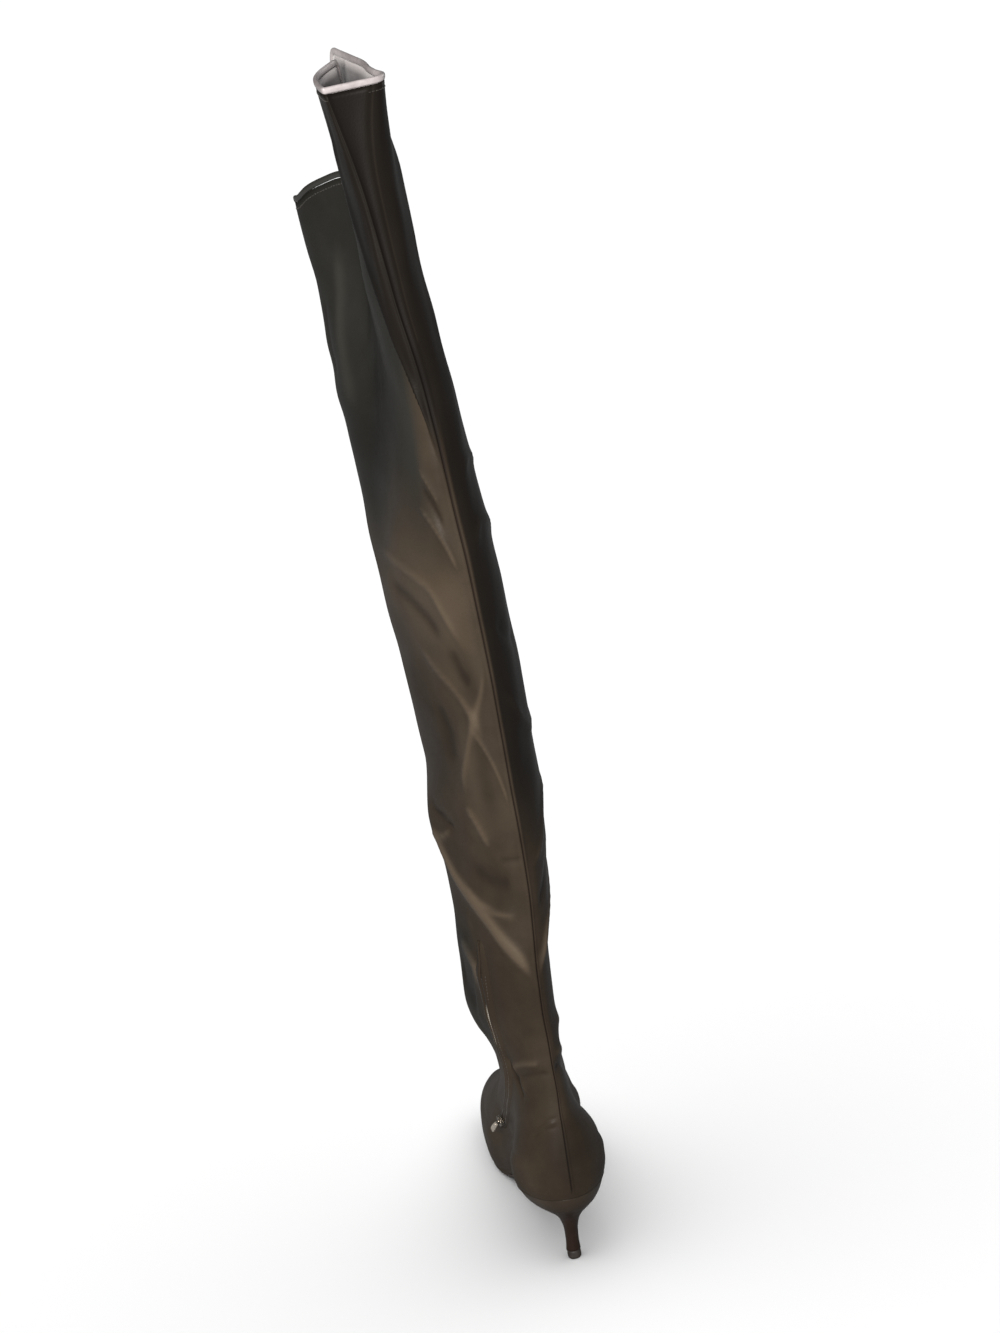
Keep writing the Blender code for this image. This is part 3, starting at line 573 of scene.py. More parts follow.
def folds(theta, place):
    """Height of the folds: height / (1 + (gap / half width)^2)^1.5 for each, fading at both ends."""
    theta, place = np.broadcast_arrays(np.asarray(theta, float), np.asarray(place, float))
    s, h = [v.ravel() for v in unrolled(theta, place)]
    total = np.zeros(s.shape)
    for width, height, points in FOLDS:
        turn, girth, way = bent_line(points)
        middle, reach = round(float(turn.mean())), 0.005 * width + 0.004
        for whole in (0, 1, -1):
            line = np.stack([(turn - middle + whole) * girth, way], 1)
            (left, low), (right, high) = line.min(0) - reach, line.max(0) + reach
            near = np.flatnonzero((s > left) & (s < right) & (h > low) & (h < high))
            if not len(near):
                continue
            gap, where = way_to_line(s[near], h[near], line)
            fade = 0.15 + 0.85 * ease(np.minimum(where, 1 - where) / 0.22)
            reached = 1 - ease((gap / reach - 0.6) / 0.4)
            total[near] += 0.001 * height * fade * reached / (1 + (gap / (0.001 * width)) ** 2) ** 1.5
    calm = ease((place - 0.30) / 0.15) * (1 - ease((place - 1.93) / 0.07))
    return total.reshape(theta.shape) * (0.15 + 0.85 * calm)


def slack(theta, place):
    """Soft unevenness of the unworn leather: a few crossed waves, at most half a millimetre."""
    s, h = unrolled(theta, place)
    wave = (np.sin(61 * h + 23 * np.sin(9 * s)) * np.sin(2 * theta + 17 * h)
            + 0.7 * np.sin(97 * h + 3 * theta + 1.3) + 0.5 * np.sin(140 * h - 5 * theta + 0.4))
    return SLACK * wave * ease((place - 0.45) / 0.3) * (1 - ease((place - 1.94) / 0.06))


def seat_swell(theta, place):
    """Low swell at the foot of the counter, so that the leather runs into the heel without a step."""
    along = 0.5 - 0.5 * np.cos(theta)
    return SWELL * np.exp(-np.asarray(place) / 0.030) * (1 - ease((along - 0.13) / 0.12))


def beyond_lap(theta, place):
    """Flat distance from the lap line towards the inner side, below zero behind the line."""
    s, h = unrolled(theta, place)
    turn, at = np.array(LAP_LINE).T
    line_s, line_h = unrolled(2 * np.pi * turn, at)
    return s - np.interp(h, line_h, line_s)


def lap(theta, place):
    """Overlap on the thigh: the back stands 1.4 mm proud, the inner side sinks 2.6 mm beyond the line."""
    beyond = beyond_lap(theta, place)
    sunk = -LAP_SUNK * ease(beyond / LAP_STEP) * (1 - ease((beyond - LAP_STEP) / 0.028))
    proud = LAP_PROUD * np.exp(-(np.minimum(beyond, 0) / 0.006) ** 2) * (1 - ease(beyond / LAP_STEP))
    return (sunk + proud) * ease((place - 1.60) / 0.07) * (1 - ease((place - 1.93) / 0.07))


def settled(theta, place):
    """Way that the collar has settled, fading out 60 mm below the topline."""
    rest = 0.001 * smooth(COLLAR_REST, turn_of(theta)) * ease((np.asarray(place) - 1.90) / 0.10)[..., None]
    return np.stack([rest[..., 0], 0 * rest[..., 0], rest[..., 1]], -1)


def skin(theta, place, out):
    """Wall with its folds, slack, swell and lap, moved outwards by a distance."""
    lift = folds(theta, place) + slack(theta, place) + seat_swell(theta, place) + lap(theta, place) + out
    return wall(theta, place) + settled(theta, place) + outward(theta, place) * np.asarray(lift)[..., None]


def inner_skin(theta, place, inside):
    """Smooth face inside the leather: it hangs clear of every fold, but not at sole and collar."""
    depth = inside + HANG * ease((place - 0.30) / 0.15) * (1 - ease((place - 1.93) / 0.07))
    return wall(theta, place) + settled(theta, place) - outward(theta, place) * np.asarray(depth)[..., None]


def bands(rows, cols):
    """Quads between neighbouring rings of points, each ring closed on itself."""
    r, c = np.arange(rows - 1)[:, None] * cols, np.arange(cols)[None, :]
    return np.stack([r + c, r + (c + 1) % cols, r + cols + (c + 1) % cols, r + cols + c], -1).reshape(-1, 4)


def blocks(grids):
    """Points, quads and end triangles of closed blocks: grids of rings with a middle point at each end."""
    points, quads, fans, first = [], [], [], 0
    for grid in grids:
        rows, cols = grid.shape[:2]
        c, low = np.arange(cols), rows * cols
        quads.append(first + bands(rows, cols))
        fans.append(first + np.stack([(c + 1) % cols, c, 0 * c + low], -1))
        fans.append(first + np.stack([low - cols + c, low - cols + (c + 1) % cols, 0 * c + low + 1], -1))
        points.append(np.concatenate([grid.reshape(-1, 3), [grid[0].mean(0), grid[-1].mean(0)]]))
        first += low + 2
    return np.concatenate(points), np.concatenate(quads), np.concatenate(fans)


def build(name, points, quads, fans, material):
    """Mesh object at the origin from points, quads and triangles, smooth, its faces outwards."""
    tris = np.concatenate([quads[:, [0, 1, 2]], quads[:, [0, 2, 3]], fans])
    a, b, c = points[tris[:, 0]], points[tris[:, 1]], points[tris[:, 2]]
    if (a * np.cross(b, c)).sum() < 0:
        quads, fans = quads[:, ::-1], fans[:, ::-1]
    mesh = bpy.data.meshes.new(name)
    mesh.vertices.add(len(points))
    mesh.vertices.foreach_set("co", points.ravel())
    corners = np.concatenate([quads.ravel(), fans.ravel()])
    sizes = np.concatenate([np.full(len(quads), 4), np.full(len(fans), 3)])
    mesh.loops.add(len(corners))
    mesh.loops.foreach_set("vertex_index", corners)
    mesh.polygons.add(len(sizes))
    mesh.polygons.foreach_set("loop_start", np.concatenate([[0], np.cumsum(sizes)[:-1]]))
    mesh.polygons.foreach_set("use_smooth", np.ones(len(sizes), bool))
    mesh.update(calc_edges=True)
    mesh.validate()
    mesh.materials.append(material)
    piece = bpy.data.objects.new(name, mesh)
    bpy.context.collection.objects.link(piece)
    return piece


def block(name, grid, material):
    """Piece from a grid of rings, closed at both ends to its middle points."""
    return build(name, *blocks([grid]), material)


def sleeve(name, grid, material):
    """Piece from a grid of rings whose last ring joins the first, as on a wall with two faces."""
    rows, cols = grid.shape[:2]
    quads = bands(rows + 1, cols) % (rows * cols)
    return build(name, grid.reshape(-1, 3), quads, np.zeros((0, 3), int), material)


def repeated(name, grid, frames, material):
    """One mesh of a small block at many frames: a point, and the ways that its three axes take there."""
    points, quads, fans = blocks([grid])
    world = frames[:, None, 0] + sum(points[None, :, k, None] * frames[:, None, k + 1] for k in range(3))
    shift = (np.arange(len(frames)) * len(points))[:, None, None]
    return build(name, world.reshape(-1, 3), (quads + shift).reshape(-1, 4),
                 (fans + shift).reshape(-1, 3), material)


def mark(piece, name, values):
    """Writes one value per point as an attribute that the material reads."""
    layer = piece.data.attributes.new(name, "FLOAT", "POINT")
    data = np.zeros(len(piece.data.vertices))
    data[:values.size] = values.ravel()
    layer.data.foreach_set("value", data)


def dress(piece, body, slot, *nodes):
    """Rides a piece on its body and hides the solids of the nodes that it stands for; the slot is not used.
    """
    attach(piece, body)
    if nodes:
        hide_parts(*nodes)


def leather_columns():
    """Angles round the leather, drawn together at the back seam and at the lap."""
    even = circle(216)
    near = np.array([0.006, 0.013, 0.022, 0.032, 0.044, 0.058, 0.075])
    lapped = np.arange(0.095, 0.86, 0.0135)
    return np.concatenate([-near[::-1], [0], near, lapped, even[(even > 0.87) & (even < 2 * np.pi - 0.095)]])


def seam_shape(theta, place):
    """Back seam: two turned edges 0.4 mm high, with a narrow groove 0.8 mm deep between them."""
    arc = np.abs(unrolled(theta, place)[0])
    edge = SEAM_EDGE * (1 - ease((arc - 0.0020) / 0.0018))
    groove = SEAM_GROOVE * np.exp(-(arc / 0.00045) ** 2)
    return (edge - groove) * ease((place - 0.01) / 0.05)


def make_leather():
    """Outer leather: face with folds and seam, and a plain inner face 0.9 mm below."""
    columns = leather_columns()
    theta, place = np.meshgrid(columns, np.linspace(0, 2, 330))
    inner = inner_skin(*np.meshgrid(columns, np.linspace(0, 2, 50)), LEATHER)
    face = skin(theta, place, seam_shape(theta, place))
    piece = sleeve("upper_leather", np.concatenate([face, inner[::-1]]), leather("upper_leather"))
    # Fold height: it also paints highlights on the crests and shade in the troughs
    mark(piece, "fold", folds(theta, place) / 0.002)
    # Lighter patches of painted highlight
    mark(piece, "patch_highlight", tone_patches(theta, place, -1))
    mark(piece, "seam", np.exp(-(unrolled(theta, place)[0] / 0.0009) ** 2) * ease((place - 0.02) / 0.04))
    # Share of the painted cool reflection
    mark(piece, "cool", cool_reflection_zone(theta, place))
    # Share of the painted shade
    mark(piece, "deep", painted_shade_zone(theta, place))
    dress(piece, "boot", "upper_leather", "upper")


def cool_reflection_zone(theta, place):
    """1 where a greyer, darker painted reflection of cool, dim light lies: inner side of the thigh and the
    pouch over the instep, 0 elsewhere.
    """
    turn = turn_of(theta)
    edge = 1.45 + 0.035 * np.sin(14 * turn) + 0.02 * np.sin(37 * turn + 1)
    thigh = ease((turn - 0.04) / 0.06) * (1 - ease((turn - 0.36) / 0.20)) * ease((place - edge) / 0.16)
    pouch = (ease((turn - 0.20) / 0.04) * (1 - ease((turn - 0.45) / 0.15)) * ease((place - 0.80) / 0.06)
             * (1 - ease((place - 1.02) / 0.06)))
    return np.clip(thigh + 0.8 * pouch, 0, 1)


def painted_shade_zone(theta, place):
    """1 where painted shade darkens the leather most: outer side of the shaft, back of the thigh up to the
    lap, and the patches of painted shade.
    """
    turn = turn_of(theta)
    # Painted shadow of the neighbouring boot over the outer side, and painted shade on the back of the thigh
    # up to the lap
    outer = ((0.35 * ease((turn - 0.62) / 0.12) + 0.65 * ease((turn - 0.80) / 0.07))
             * (1 - ease((turn - 0.988) / 0.010)) * ease((place - 1.02) / 0.25))
    back = ((1 - ease(beyond_lap(theta, place) / 0.003)) * (unrolled(theta, place)[0] > -0.004)
            * ease((place - 1.56) / 0.12))
    return np.clip(np.maximum(outer, back) + tone_patches(theta, place, 1), 0, 1)


def tone_patches(theta, place, sign):
    """Sum of the patches of painted shade (sign 1) or of painted highlight (sign -1): change x exp(-gap^2),
    gap in half widths.
    """
    total = 0.0 * theta
    for turn, level, wide, high, change in TONE_PATCHES:
        if change * sign > 0:
            aside = (np.mod(theta / (2 * np.pi) - turn + 0.5, 1.0) - 0.5) / wide
            total = total + abs(change) * np.exp(-aside ** 2 - ((place - level) / high) ** 2)
    return total


def make_lining():
    """Lining: two faces 0.7 mm apart inside the leather, silver at the collar, with painted shade darkening
    it below.
    """
    theta, place = np.meshgrid(circle(150), np.linspace(0.004, 2, 200))
    near, far = inner_skin(theta, place, LINING), inner_skin(theta, place, WALL)
    piece = sleeve("upper_lining", np.concatenate([near, far[::-1]]), lining("lining"))
    # Painted shade inside the shaft: the lining darkens from 1 mm to 7 mm below the topline
    below = ease((SHAFT_RISE * (2 - place) - 0.001) / 0.006)
    mark(piece, "below", np.concatenate([below, below[::-1]]))
    dress(piece, "boot", "upper_leather")


def make_collar_edge():
    """Folded edge: a rounded strip, superellipse 3 x 4 mm, carried along the topline square to its slope."""
    theta = circle(300)
    top, out = skin(theta, 2.0 + 0 * theta, 0), outward(theta, 2.0 + 0 * theta)
    up = unit(np.cross(np.roll(top, -1, 0) - np.roll(top, 1, 0), out))
    up = up * np.sign(up[:, 2:])
    middle = top - out * WALL / 2 + up * (GAP + EDGE_HEIGHT / 2)
    a = circle(20)[:, None, None]
    across, upward = rounded(np.cos(a), 0.7) * EDGE_WIDTH / 2, rounded(np.sin(a), 0.7) * EDGE_HEIGHT / 2
    piece = sleeve("collar_fold", middle + out * across + up * upward, edge_leather("collar_fold"))
    turn = np.broadcast_to(theta / (2 * np.pi), (20, 300))
    mark(piece, "plain", ease((turn - 0.262) / 0.02) * (1 - ease((turn - 0.65) / 0.03)))
    dress(piece, "boot", "edge_leather", "collar_edge")


def feather_line(along):
    """Feather line at shares of the foot length: x on the inner and on the outer side, y and z."""
    form, back, run = smooth(RINGS, 0.0)[[5, 0, 1]]
    inner, outer = sole_widths(along)
    bow = 2 * np.sqrt(np.clip(along * (1 - along), 0, None)) * form
    middle = SEAT_SHIFT - TOE_SWING * form * ease((along - 0.55) / 0.45)
    y = FOOT_LENGTH * (back + run * along) - HEEL_SETBACK
    return middle - inner * bow, middle + outer * bow, y, feather_height(along)


def plate(name, first, inset, low, high, material):
    """Plate along the feather line: each section is a rounded slab, and the rows bunch up at round ends."""
    along = first + (PLATE_END - first) * (1 - np.cos(np.pi * np.linspace(0, 1, 90))) / 2
    left, right, y, z = [line[:, None] for line in feather_line(along)]
    half = np.maximum((right - left) / 2 - inset, 0.0006)
    a = circle(40)[None, :]
    x = (left + right) / 2 + half * rounded(np.cos(a), 0.18)
    lift = (high + low) / 2 + (high - low) / 2 * rounded(np.sin(a), 0.45)
    return block(name, np.stack([x, y + 0 * a, z + lift], -1), material)


def make_outsole():
    """Thin leather sole, toe tip to heel breast."""
    piece = plate("sole", SEAT_LENGTH / FOOT_LENGTH, 0.0004, -GAP - SOLE, -GAP, sole_leather("sole"))
    dress(piece, "boot", "sole_leather", "outsole")


def make_insole():
    """Sock over the insole board."""
    piece = plate("insole_sock", 0.0015, WALL + 2 * GAP, GAP, GAP + INSOLE, lining("sock"))
    dress(piece, "boot", "insole_sock", "insole")


def heel_seat_ring():
    """Outline of the heel seat: the feather line behind the breast, and a hollow breast line in front."""
    along = SEAT_LENGTH / FOOT_LENGTH * (1 - np.cos(np.linspace(0, np.pi / 2, 80)))
    left, right, y, z = feather_line(along)
    y[-1] -= GAP
    x, depth, level = [np.concatenate([a[::-1], b[1:]]) for a, b in ((right, left), (y, y), (z, z))]
    across = np.linspace(x[-1], x[0], 26)[1:-1]
    bow = 1 - (2 * (across - x[-1]) / (x[0] - x[-1]) - 1) ** 2
    x, depth = np.concatenate([x, across]), np.concatenate([depth, depth[0] - 0.003 * bow])
    return np.stack([x, depth, np.concatenate([level, np.full(24, level[0])]) - GAP], -1)


def make_heel():
    """Covered heel: each ring is a blend of the seat outline and the round stem by the heel table."""
    seat_x, seat_y, seat_z = heel_seat_ring().T[:, None]
    direction = np.arctan2(seat_x - SEAT_SHIFT, -seat_y)
    across, lengthways, down = smooth(HEEL_RINGS, np.linspace(0, 1, 120)).T[:, :, None]
    level = seat_z * (1 - down) + (TIP_HEIGHT + GAP) * down
    x = seat_x * (1 - across) + (STEM_WIDTH / 2 * np.sin(direction) + SEAT_SHIFT * (1 - down)) * across
    y = seat_y * (1 - lengthways) - STEM_WIDTH / 2 * np.cos(direction) * lengthways
    along = (seat_y + HEEL_SETBACK) / FOOT_LENGTH
    swell = SWELL * np.exp(-(seat_z - level) / 0.0045) * (1 - ease((along - 0.13) / 0.08))
    swell = swell * ease((seat_z - level) / 0.0004 + 0.4)
    x, y = x + swell * np.sin(direction), y - swell * np.cos(direction)
    piece = block("heel_leather", np.stack([x, y, level], -1), heel_leather("heel_leather"))
    dress(piece, "boot", "heel_cover", "heel")


def make_heel_tip():
    """Top piece: turned profile with a rounded waist edge and a flat ground face."""
    a = circle(56)
    height, radius = np.array(TIP_PROFILE).T[:, :, None]
    radius = TIP_WIDTH / 2 * radius
    grid = np.stack([radius * np.sin(a), radius * np.cos(a), TIP_HEIGHT * height + 0 * a], -1)
    dress(block("top_piece", grid, top_piece("top_piece")), "boot", "top_piece", "heel_tip")


def zip_frame(place, lifted=True):
    """Point on the zip line, on the folds or the plain wall, and unit vectors along, across and out."""
    def line(at):
        turn = smooth(ZIP_PATH, at)[..., 0] * 2 * np.pi
        return turn, wall(turn, at)
    turn, point = line(place)
    out = outward(turn, place)
    along = unit(line(place + 0.01)[1] - line(place - 0.01)[1])
    if lifted:
        point = point + out * folds(turn, place)[..., None]
    return point, along, unit(np.cross(out, along)), out


def zip_lean(place):
    """Zip angle at each place, and how much longer a step along a ring is than a step square to the zip."""
    turn = smooth(ZIP_PATH, place)[:, 0] * 2 * np.pi
    slope = np.gradient(turn / (2 * np.pi) * wall_girth(place), wall_way(place))
    return turn, np.sqrt(1 + slope ** 2)


def strip_on_wall(name, profile, place, material, wide=1, high=1, shift=0):
    """Strip along the zip line: its profile, (across, out) in mm, is laid on the wall beside the line.

    Every profile point sits on the wall at its own angle; wide and high are shares of its size in each row,
    and shift moves it across in millimetres.
    """
    turn, lean = zip_lean(place)
    across, out = np.array(profile).T[:, None]
    given = [(value + 0 * place)[:, None] for value in (wide, high, shift, turn, lean, place)]
    wide, high, shift, turn, lean, place = given
    angle = turn + 2 * np.pi * 0.001 * (across * wide + shift) * lean / wall_girth(place)
    return block(name, skin(angle, place + 0 * across, 0.001 * out * high), material)


def zip_gape(place):
    """Half width in millimetres of the slot between the two leather edges: shut, but open near the top."""
    return 0.42 + sum(open_by * np.exp(-((place - at) / reach) ** 2) for at, open_by, reach in ZIP_GAPES)


def make_plackets():
    """Leather edges that meet over the zip: low welts, rounded at the slot and thin at the upper."""
    place = np.linspace(ZIP_FIRST - 0.03, ZIP_LAST + 0.04, 170)
    ends = np.clip(np.minimum((place - place[0]) / 0.06, (place[-1] - place) / 0.05), 0, 1)
    swell = np.sqrt(ends * (2 - ends))
    finish = leather("placket")
    for name, side in (("placket_front", 1), ("placket_back", -1)):
        piece = strip_on_wall(name, [(a * side, b) for a, b in PLACKET_PROFILE], place, finish,
                              0.25 + 0.75 * swell, 0.10 + 0.90 * swell, side * zip_gape(place))
        dress(piece, "boot", "upper_leather")


def make_tapes():
    """Woven tape of each row under the teeth."""
    finish = tape("zip_tape")
    for name, node, side in (("tape_front", "zip_front", 1), ("tape_back", "zip_back", -1)):
        profile = [(a * side, b) for a, b in TAPE_PROFILE]
        strip = strip_on_wall(name, profile, np.linspace(ZIP_FIRST, ZIP_LAST, 90), finish)
        dress(strip, "boot", "zip_tape", node)


def make_teeth():
    """Teeth: a rounded block repeated along each edge at 1.7 mm, the two rows half a pitch apart."""
    fine = np.linspace(ZIP_FIRST + 0.006, ZIP_LAST - 0.006, 400)
    way = way_along(zip_frame(fine)[0])
    frames = []
    for side, shift in ((1, 0.0), (-1, 0.5)):
        at = np.arange(shift * TOOTH_PITCH, way[-1], TOOTH_PITCH)
        point, along, across, out = zip_frame(np.interp(at, way, fine))
        point = point + out * TOOTH_OUT + across * side * TOOTH_ASIDE
        frames.append(np.stack([point, across * side, along * side, out], 1))
    a = (circle(8) + np.pi / 8)[None, :]
    reach, share = np.array(TOOTH_RINGS).T[:, :, None]
    grid = np.stack([reach * TOOTH_HALF[0] + 0 * a, rounded(np.cos(a), 0.5) * TOOTH_HALF[1] * share,
                     rounded(np.sin(a), 0.5) * TOOTH_HALF[2] * share], -1)
    dress(repeated("zip_teeth", grid, np.concatenate(frames), tooth_metal("zip_teeth")), "boot", "zip_tape")


def slider_frame():
    """Middle of the slider and its directions along, across and out, where the solids have it."""
    point, along, across, out = zip_frame(SLIDER_PLACE, lifted=False)
    return point + out * (GAP + TEETH_UNDER + ZIP_THICK + GAP + SLIDER_THICK / 2), along, across, out


def nose(centre, axes, sizes, power):
    """Rounded block: both angles of a sphere, with their sines and cosines raised to a power below 1."""
    v = np.linspace(-np.pi / 2, np.pi / 2, 16)[1:-1][:, None]
    u = circle(28)[None, :]
    wide = rounded(np.cos(v), power)
    ball = np.stack([rounded(np.sin(v), power) + 0 * u, wide * rounded(np.cos(u), power),
                     wide * rounded(np.sin(u), power)], -1)
    return centre + (ball * np.array(sizes) / 2) @ axes


def bridge(path, radius, flat, side):
    """Rod along a path of points: flattened rings square to the path."""
    ahead = unit(np.gradient(path, axis=0))
    wide = unit(np.cross(ahead, side))
    tall = np.cross(ahead, wide)
    a = circle(14)[None, :, None]
    return path[:, None] + radius * (np.cos(a) * wide[:, None] + flat * np.sin(a) * tall[:, None])


def make_slider():
    """Slider: lower plate, shouldered upper plate, nose between them and a bridge that holds the pull."""
    centre, along, across, out = slider_frame()
    axes = np.stack([along, across, out])
    v, u = np.linspace(-1, 1, 26)[:, None], circle(36)[None, :]
    width = SLIDER_WIDTH / 2 * (0.74 + 0.26 * ease((v + 0.2) / 0.8)) * (1 - 0.10 * np.abs(v) ** 6)
    end = np.sqrt(np.clip(1 - np.abs(v) ** 8, 0, 1))
    grids = []
    for level, thick in ((-0.0011, 0.0009), (0.0004, 0.0010)):
        local = np.stack([v * SLIDER_LENGTH / 2 + 0 * u, width * end * rounded(np.cos(u), 0.35),
                          level + thick / 2 * (0.55 + 0.45 * end) * rounded(np.sin(u), 0.55)], -1)
        grids.append(centre + local @ axes)
    grids.append(nose(centre + along * NOSE_PLACE[0] + out * NOSE_PLACE[1], axes, NOSE_SIZE, 0.6))
    t = np.linspace(0, np.pi, 24)[:, None]
    foot, rise = BRIDGE_RISE
    arch = centre + along * BRIDGE_HALF * np.cos(t) + out * (foot + rise * np.abs(np.sin(t)) ** 0.6)
    grids.append(bridge(arch, *BRIDGE_THICK, across))
    finish = metal("slider", SLIDER_LIGHT, SLIDER_DARK, 0.22, 0.38, 0.85, 150.0)
    dress(build("slider", *blocks(grids), finish), "boot", "slider_metal", "zip_slider")


def make_pull():
    """Pull: a flat drop with an eye; rings run from the eye to the outline and back on the other face."""
    centre, _, across, out = slider_frame()
    pivot = centre + out * (SLIDER_THICK / 2 + GAP + TAB_THICK / 2 + 0.0002)
    down = np.array([0.0, 0.0, -1.0])
    flat = unit(down - across * (down @ across))
    face = np.cross(across, flat)
    a = circle(64)
    eye = np.stack([EYE_PLACE + EYE_RADIUS * np.cos(a), EYE_RADIUS * np.sin(a)], 1)
    shape = np.stack([TAB_LENGTH / 2 * (1 + rounded(np.cos(a), 0.42)),
                      TAB_WIDTH / 2 * rounded(np.sin(a), 0.42)], 1)
    shape[:, 1] *= 0.80 + 0.20 * ease(shape[:, 0] / TAB_LENGTH)
    rows = []
    for share, level in PULL_RINGS:
        line = eye * (1 - share) + shape * share
        rows.append(pivot + line[:, :1] * flat + line[:, 1:] * across + face * TAB_THICK / 2 * level)
    finish = metal("pull", TAB_LIGHT, TAB_DARK, 0.25, 0.42, 0.7, 150.0, 0.3)
    dress(sleeve("pull", np.array(rows), finish), "pull", "tab_metal", "pull_tab")


def stitch_row(name, theta, place, lift, finish):
    """Row of stitches: one short thread loop per pitch along a line on the wall, sunk at both ends."""
    path = skin(theta, place, lift)
    way = way_along(path)
    middle = np.arange(STITCH_PITCH / 2, way[-1] - STITCH_PITCH / 2, STITCH_PITCH)
    at = lambda value: np.stack([np.interp(value, way, path[:, k]) for k in range(3)], -1)
    ahead = unit(at(middle + STITCH_PITCH / 4) - at(middle - STITCH_PITCH / 4))
    out = outward(np.interp(middle, way, theta), np.interp(middle, way, place))
    a = circle(6)[None, :]
    reach, share, sink = np.array(STITCH_RINGS).T[:, :, None]
    grid = np.stack([reach * STITCH_LENGTH / 2 + 0 * a, THREAD_RADIUS * share * np.cos(a),
                     THREAD_RADIUS * (sink + share * np.sin(a))], -1)
    frames = np.stack([at(middle), ahead, np.cross(ahead, out), out], 1)
    dress(repeated(name, grid, frames, finish), "boot", "upper_leather")


def make_stitches():
    """Rows of stitches along both plackets and under the collar fold."""
    finish = thread("thread")
    place = np.linspace(ZIP_FIRST, ZIP_LAST, 500)
    turn, lean = zip_lean(place)
    for name, side in (("stitches_zip_front", 1), ("stitches_zip_back", -1)):
        aside = side * 2 * np.pi * STITCH_ASIDE * lean / wall_girth(place)
        stitch_row(name, turn + aside, place, STITCH_OUT, finish)
    theta = np.linspace(0.02, 2 * np.pi - 0.02, 900)
    level_at, lift = COLLAR_STITCHES
    stitch_row("stitches_collar", theta, level_at + 0 * theta, lift, finish)


def new_group(name, inputs, outputs):
    """Empty node group with named value or colour sockets: its tree, what it is given and what it gives."""
    kinds = {"value": "NodeSocketFloat", "colour": "NodeSocketColor"}
    tree = bpy.data.node_groups.new(name, "ShaderNodeTree")
    for label, kind, value in inputs:
        tree.interface.new_socket(name=label, in_out="INPUT", socket_type=kinds[kind]).default_value = value
    for label, kind in outputs:
        tree.interface.new_socket(name=label, in_out="OUTPUT", socket_type=kinds[kind])
    return tree, tree.nodes.new("NodeGroupInput").outputs, tree.nodes.new("NodeGroupOutput").inputs


def add(tree, kind, settings=None, **values):
    """Node with its settings, and its inputs, by name or by i and their number, set to values or linked."""
    node = tree.nodes.new(kind)
    for key, value in (settings or {}).items():
        setattr(node, key, value)
    for key, value in values.items():
        numbered = key[0] == "i" and key[1:].isdigit()
        socket = node.inputs[int(key[1:]) if numbered else key.replace("_", " ")]
        if isinstance(value, bpy.types.NodeSocket):
            tree.links.new(value, socket)
        else:
            socket.default_value = value
    return node


def maths(tree, operation, first, second):
    """One sum or product of two values."""
    return add(tree, "ShaderNodeMath", {"operation": operation}, i0=first, i1=second).outputs[0]


def times(tree, first, second):
    """Product of two values."""
    return maths(tree, "MULTIPLY", first, second)


def stretch(tree, value, low, high, to_low=0.0, to_high=1.0):
    """Value moved from one range to another, held inside it."""
    settings = {"clamp": True, "interpolation_type": "SMOOTHSTEP"}
    return add(tree, "ShaderNodeMapRange", settings, Value=value, From_Min=low, From_Max=high,
               To_Min=to_low, To_Max=to_high).outputs["Result"]


def mixed(tree, share, first, second):
    """Two colours mixed by a share."""
    return add(tree, "ShaderNodeMix", {"data_type": "RGBA"}, i0=share, i6=first, i7=second).outputs[2]


def spot(tree):
    """Object coordinates in metres."""
    return add(tree, "ShaderNodeTexCoord").outputs["Object"]


def level(tree):
    """Height above the ground in metres."""
    return add(tree, "ShaderNodeSeparateXYZ", None, Vector=spot(tree)).outputs["Z"]


def noise(tree, place, scale, detail, roughness=0.5):
    """Soft noise at a place."""
    return add(tree, "ShaderNodeTexNoise", None, Vector=place, Scale=scale, Detail=detail,
               Roughness=roughness).outputs[0]


def leather_grain():
    """Grain of thin smooth leather: fine pebbles, pores, and short soft wrinkles, in metres."""
    tree, given, result = new_group(
        "leather_grain", (("Pebbles", "value", 900.0), ("Wrinkles", "value", 55.0), ("Depth", "value", 1.0)),
        (("Height", "value"), ("Pores", "value"), ("Wear", "value")))
    place = spot(tree)
    pebbles = add(tree, "ShaderNodeTexVoronoi", {"feature": "SMOOTH_F1"}, Vector=place,
                  Scale=given["Pebbles"], Smoothness=0.6).outputs["Distance"]
    pores = noise(tree, place, times(tree, given["Pebbles"], 1.7), 3.0, 0.6)
    long = add(tree, "ShaderNodeMapping", None, Vector=place, Scale=(1.0, 1.0, 0.42),
               Rotation=(0.5, 0.35, 0.0)).outputs[0]
    bent = add(tree, "ShaderNodeTexNoise", None, Vector=place, Scale=9.0, Detail=2.0).outputs["Color"]
    shifted = add(tree, "ShaderNodeVectorMath", {"operation": "MULTIPLY_ADD"}, i0=bent,
                  i1=(0.035, 0.035, 0.035), i2=long).outputs[0]
    creases = add(tree, "ShaderNodeTexNoise", {"noise_type": "RIDGED_MULTIFRACTAL"}, Vector=shifted,
                  Scale=given["Wrinkles"], Detail=3.0, Roughness=0.45, Lacunarity=2.1).outputs[0]
    patch = stretch(tree, noise(tree, place, 14.0, 1.0), 0.42, 0.68)
    wrinkle = times(tree, stretch(tree, creases, 0.55, 1.25), patch)
    fine = maths(tree, "ADD", times(tree, pebbles, 0.16), times(tree, pores, 0.10))
    height = maths(tree, "ADD", fine, times(tree, wrinkle, -0.55))
    tree.links.new(times(tree, height, given["Depth"]), result["Height"])
    tree.links.new(stretch(tree, pores, 0.35, 0.65), result["Pores"])
    tree.links.new(patch, result["Wear"])
    return tree


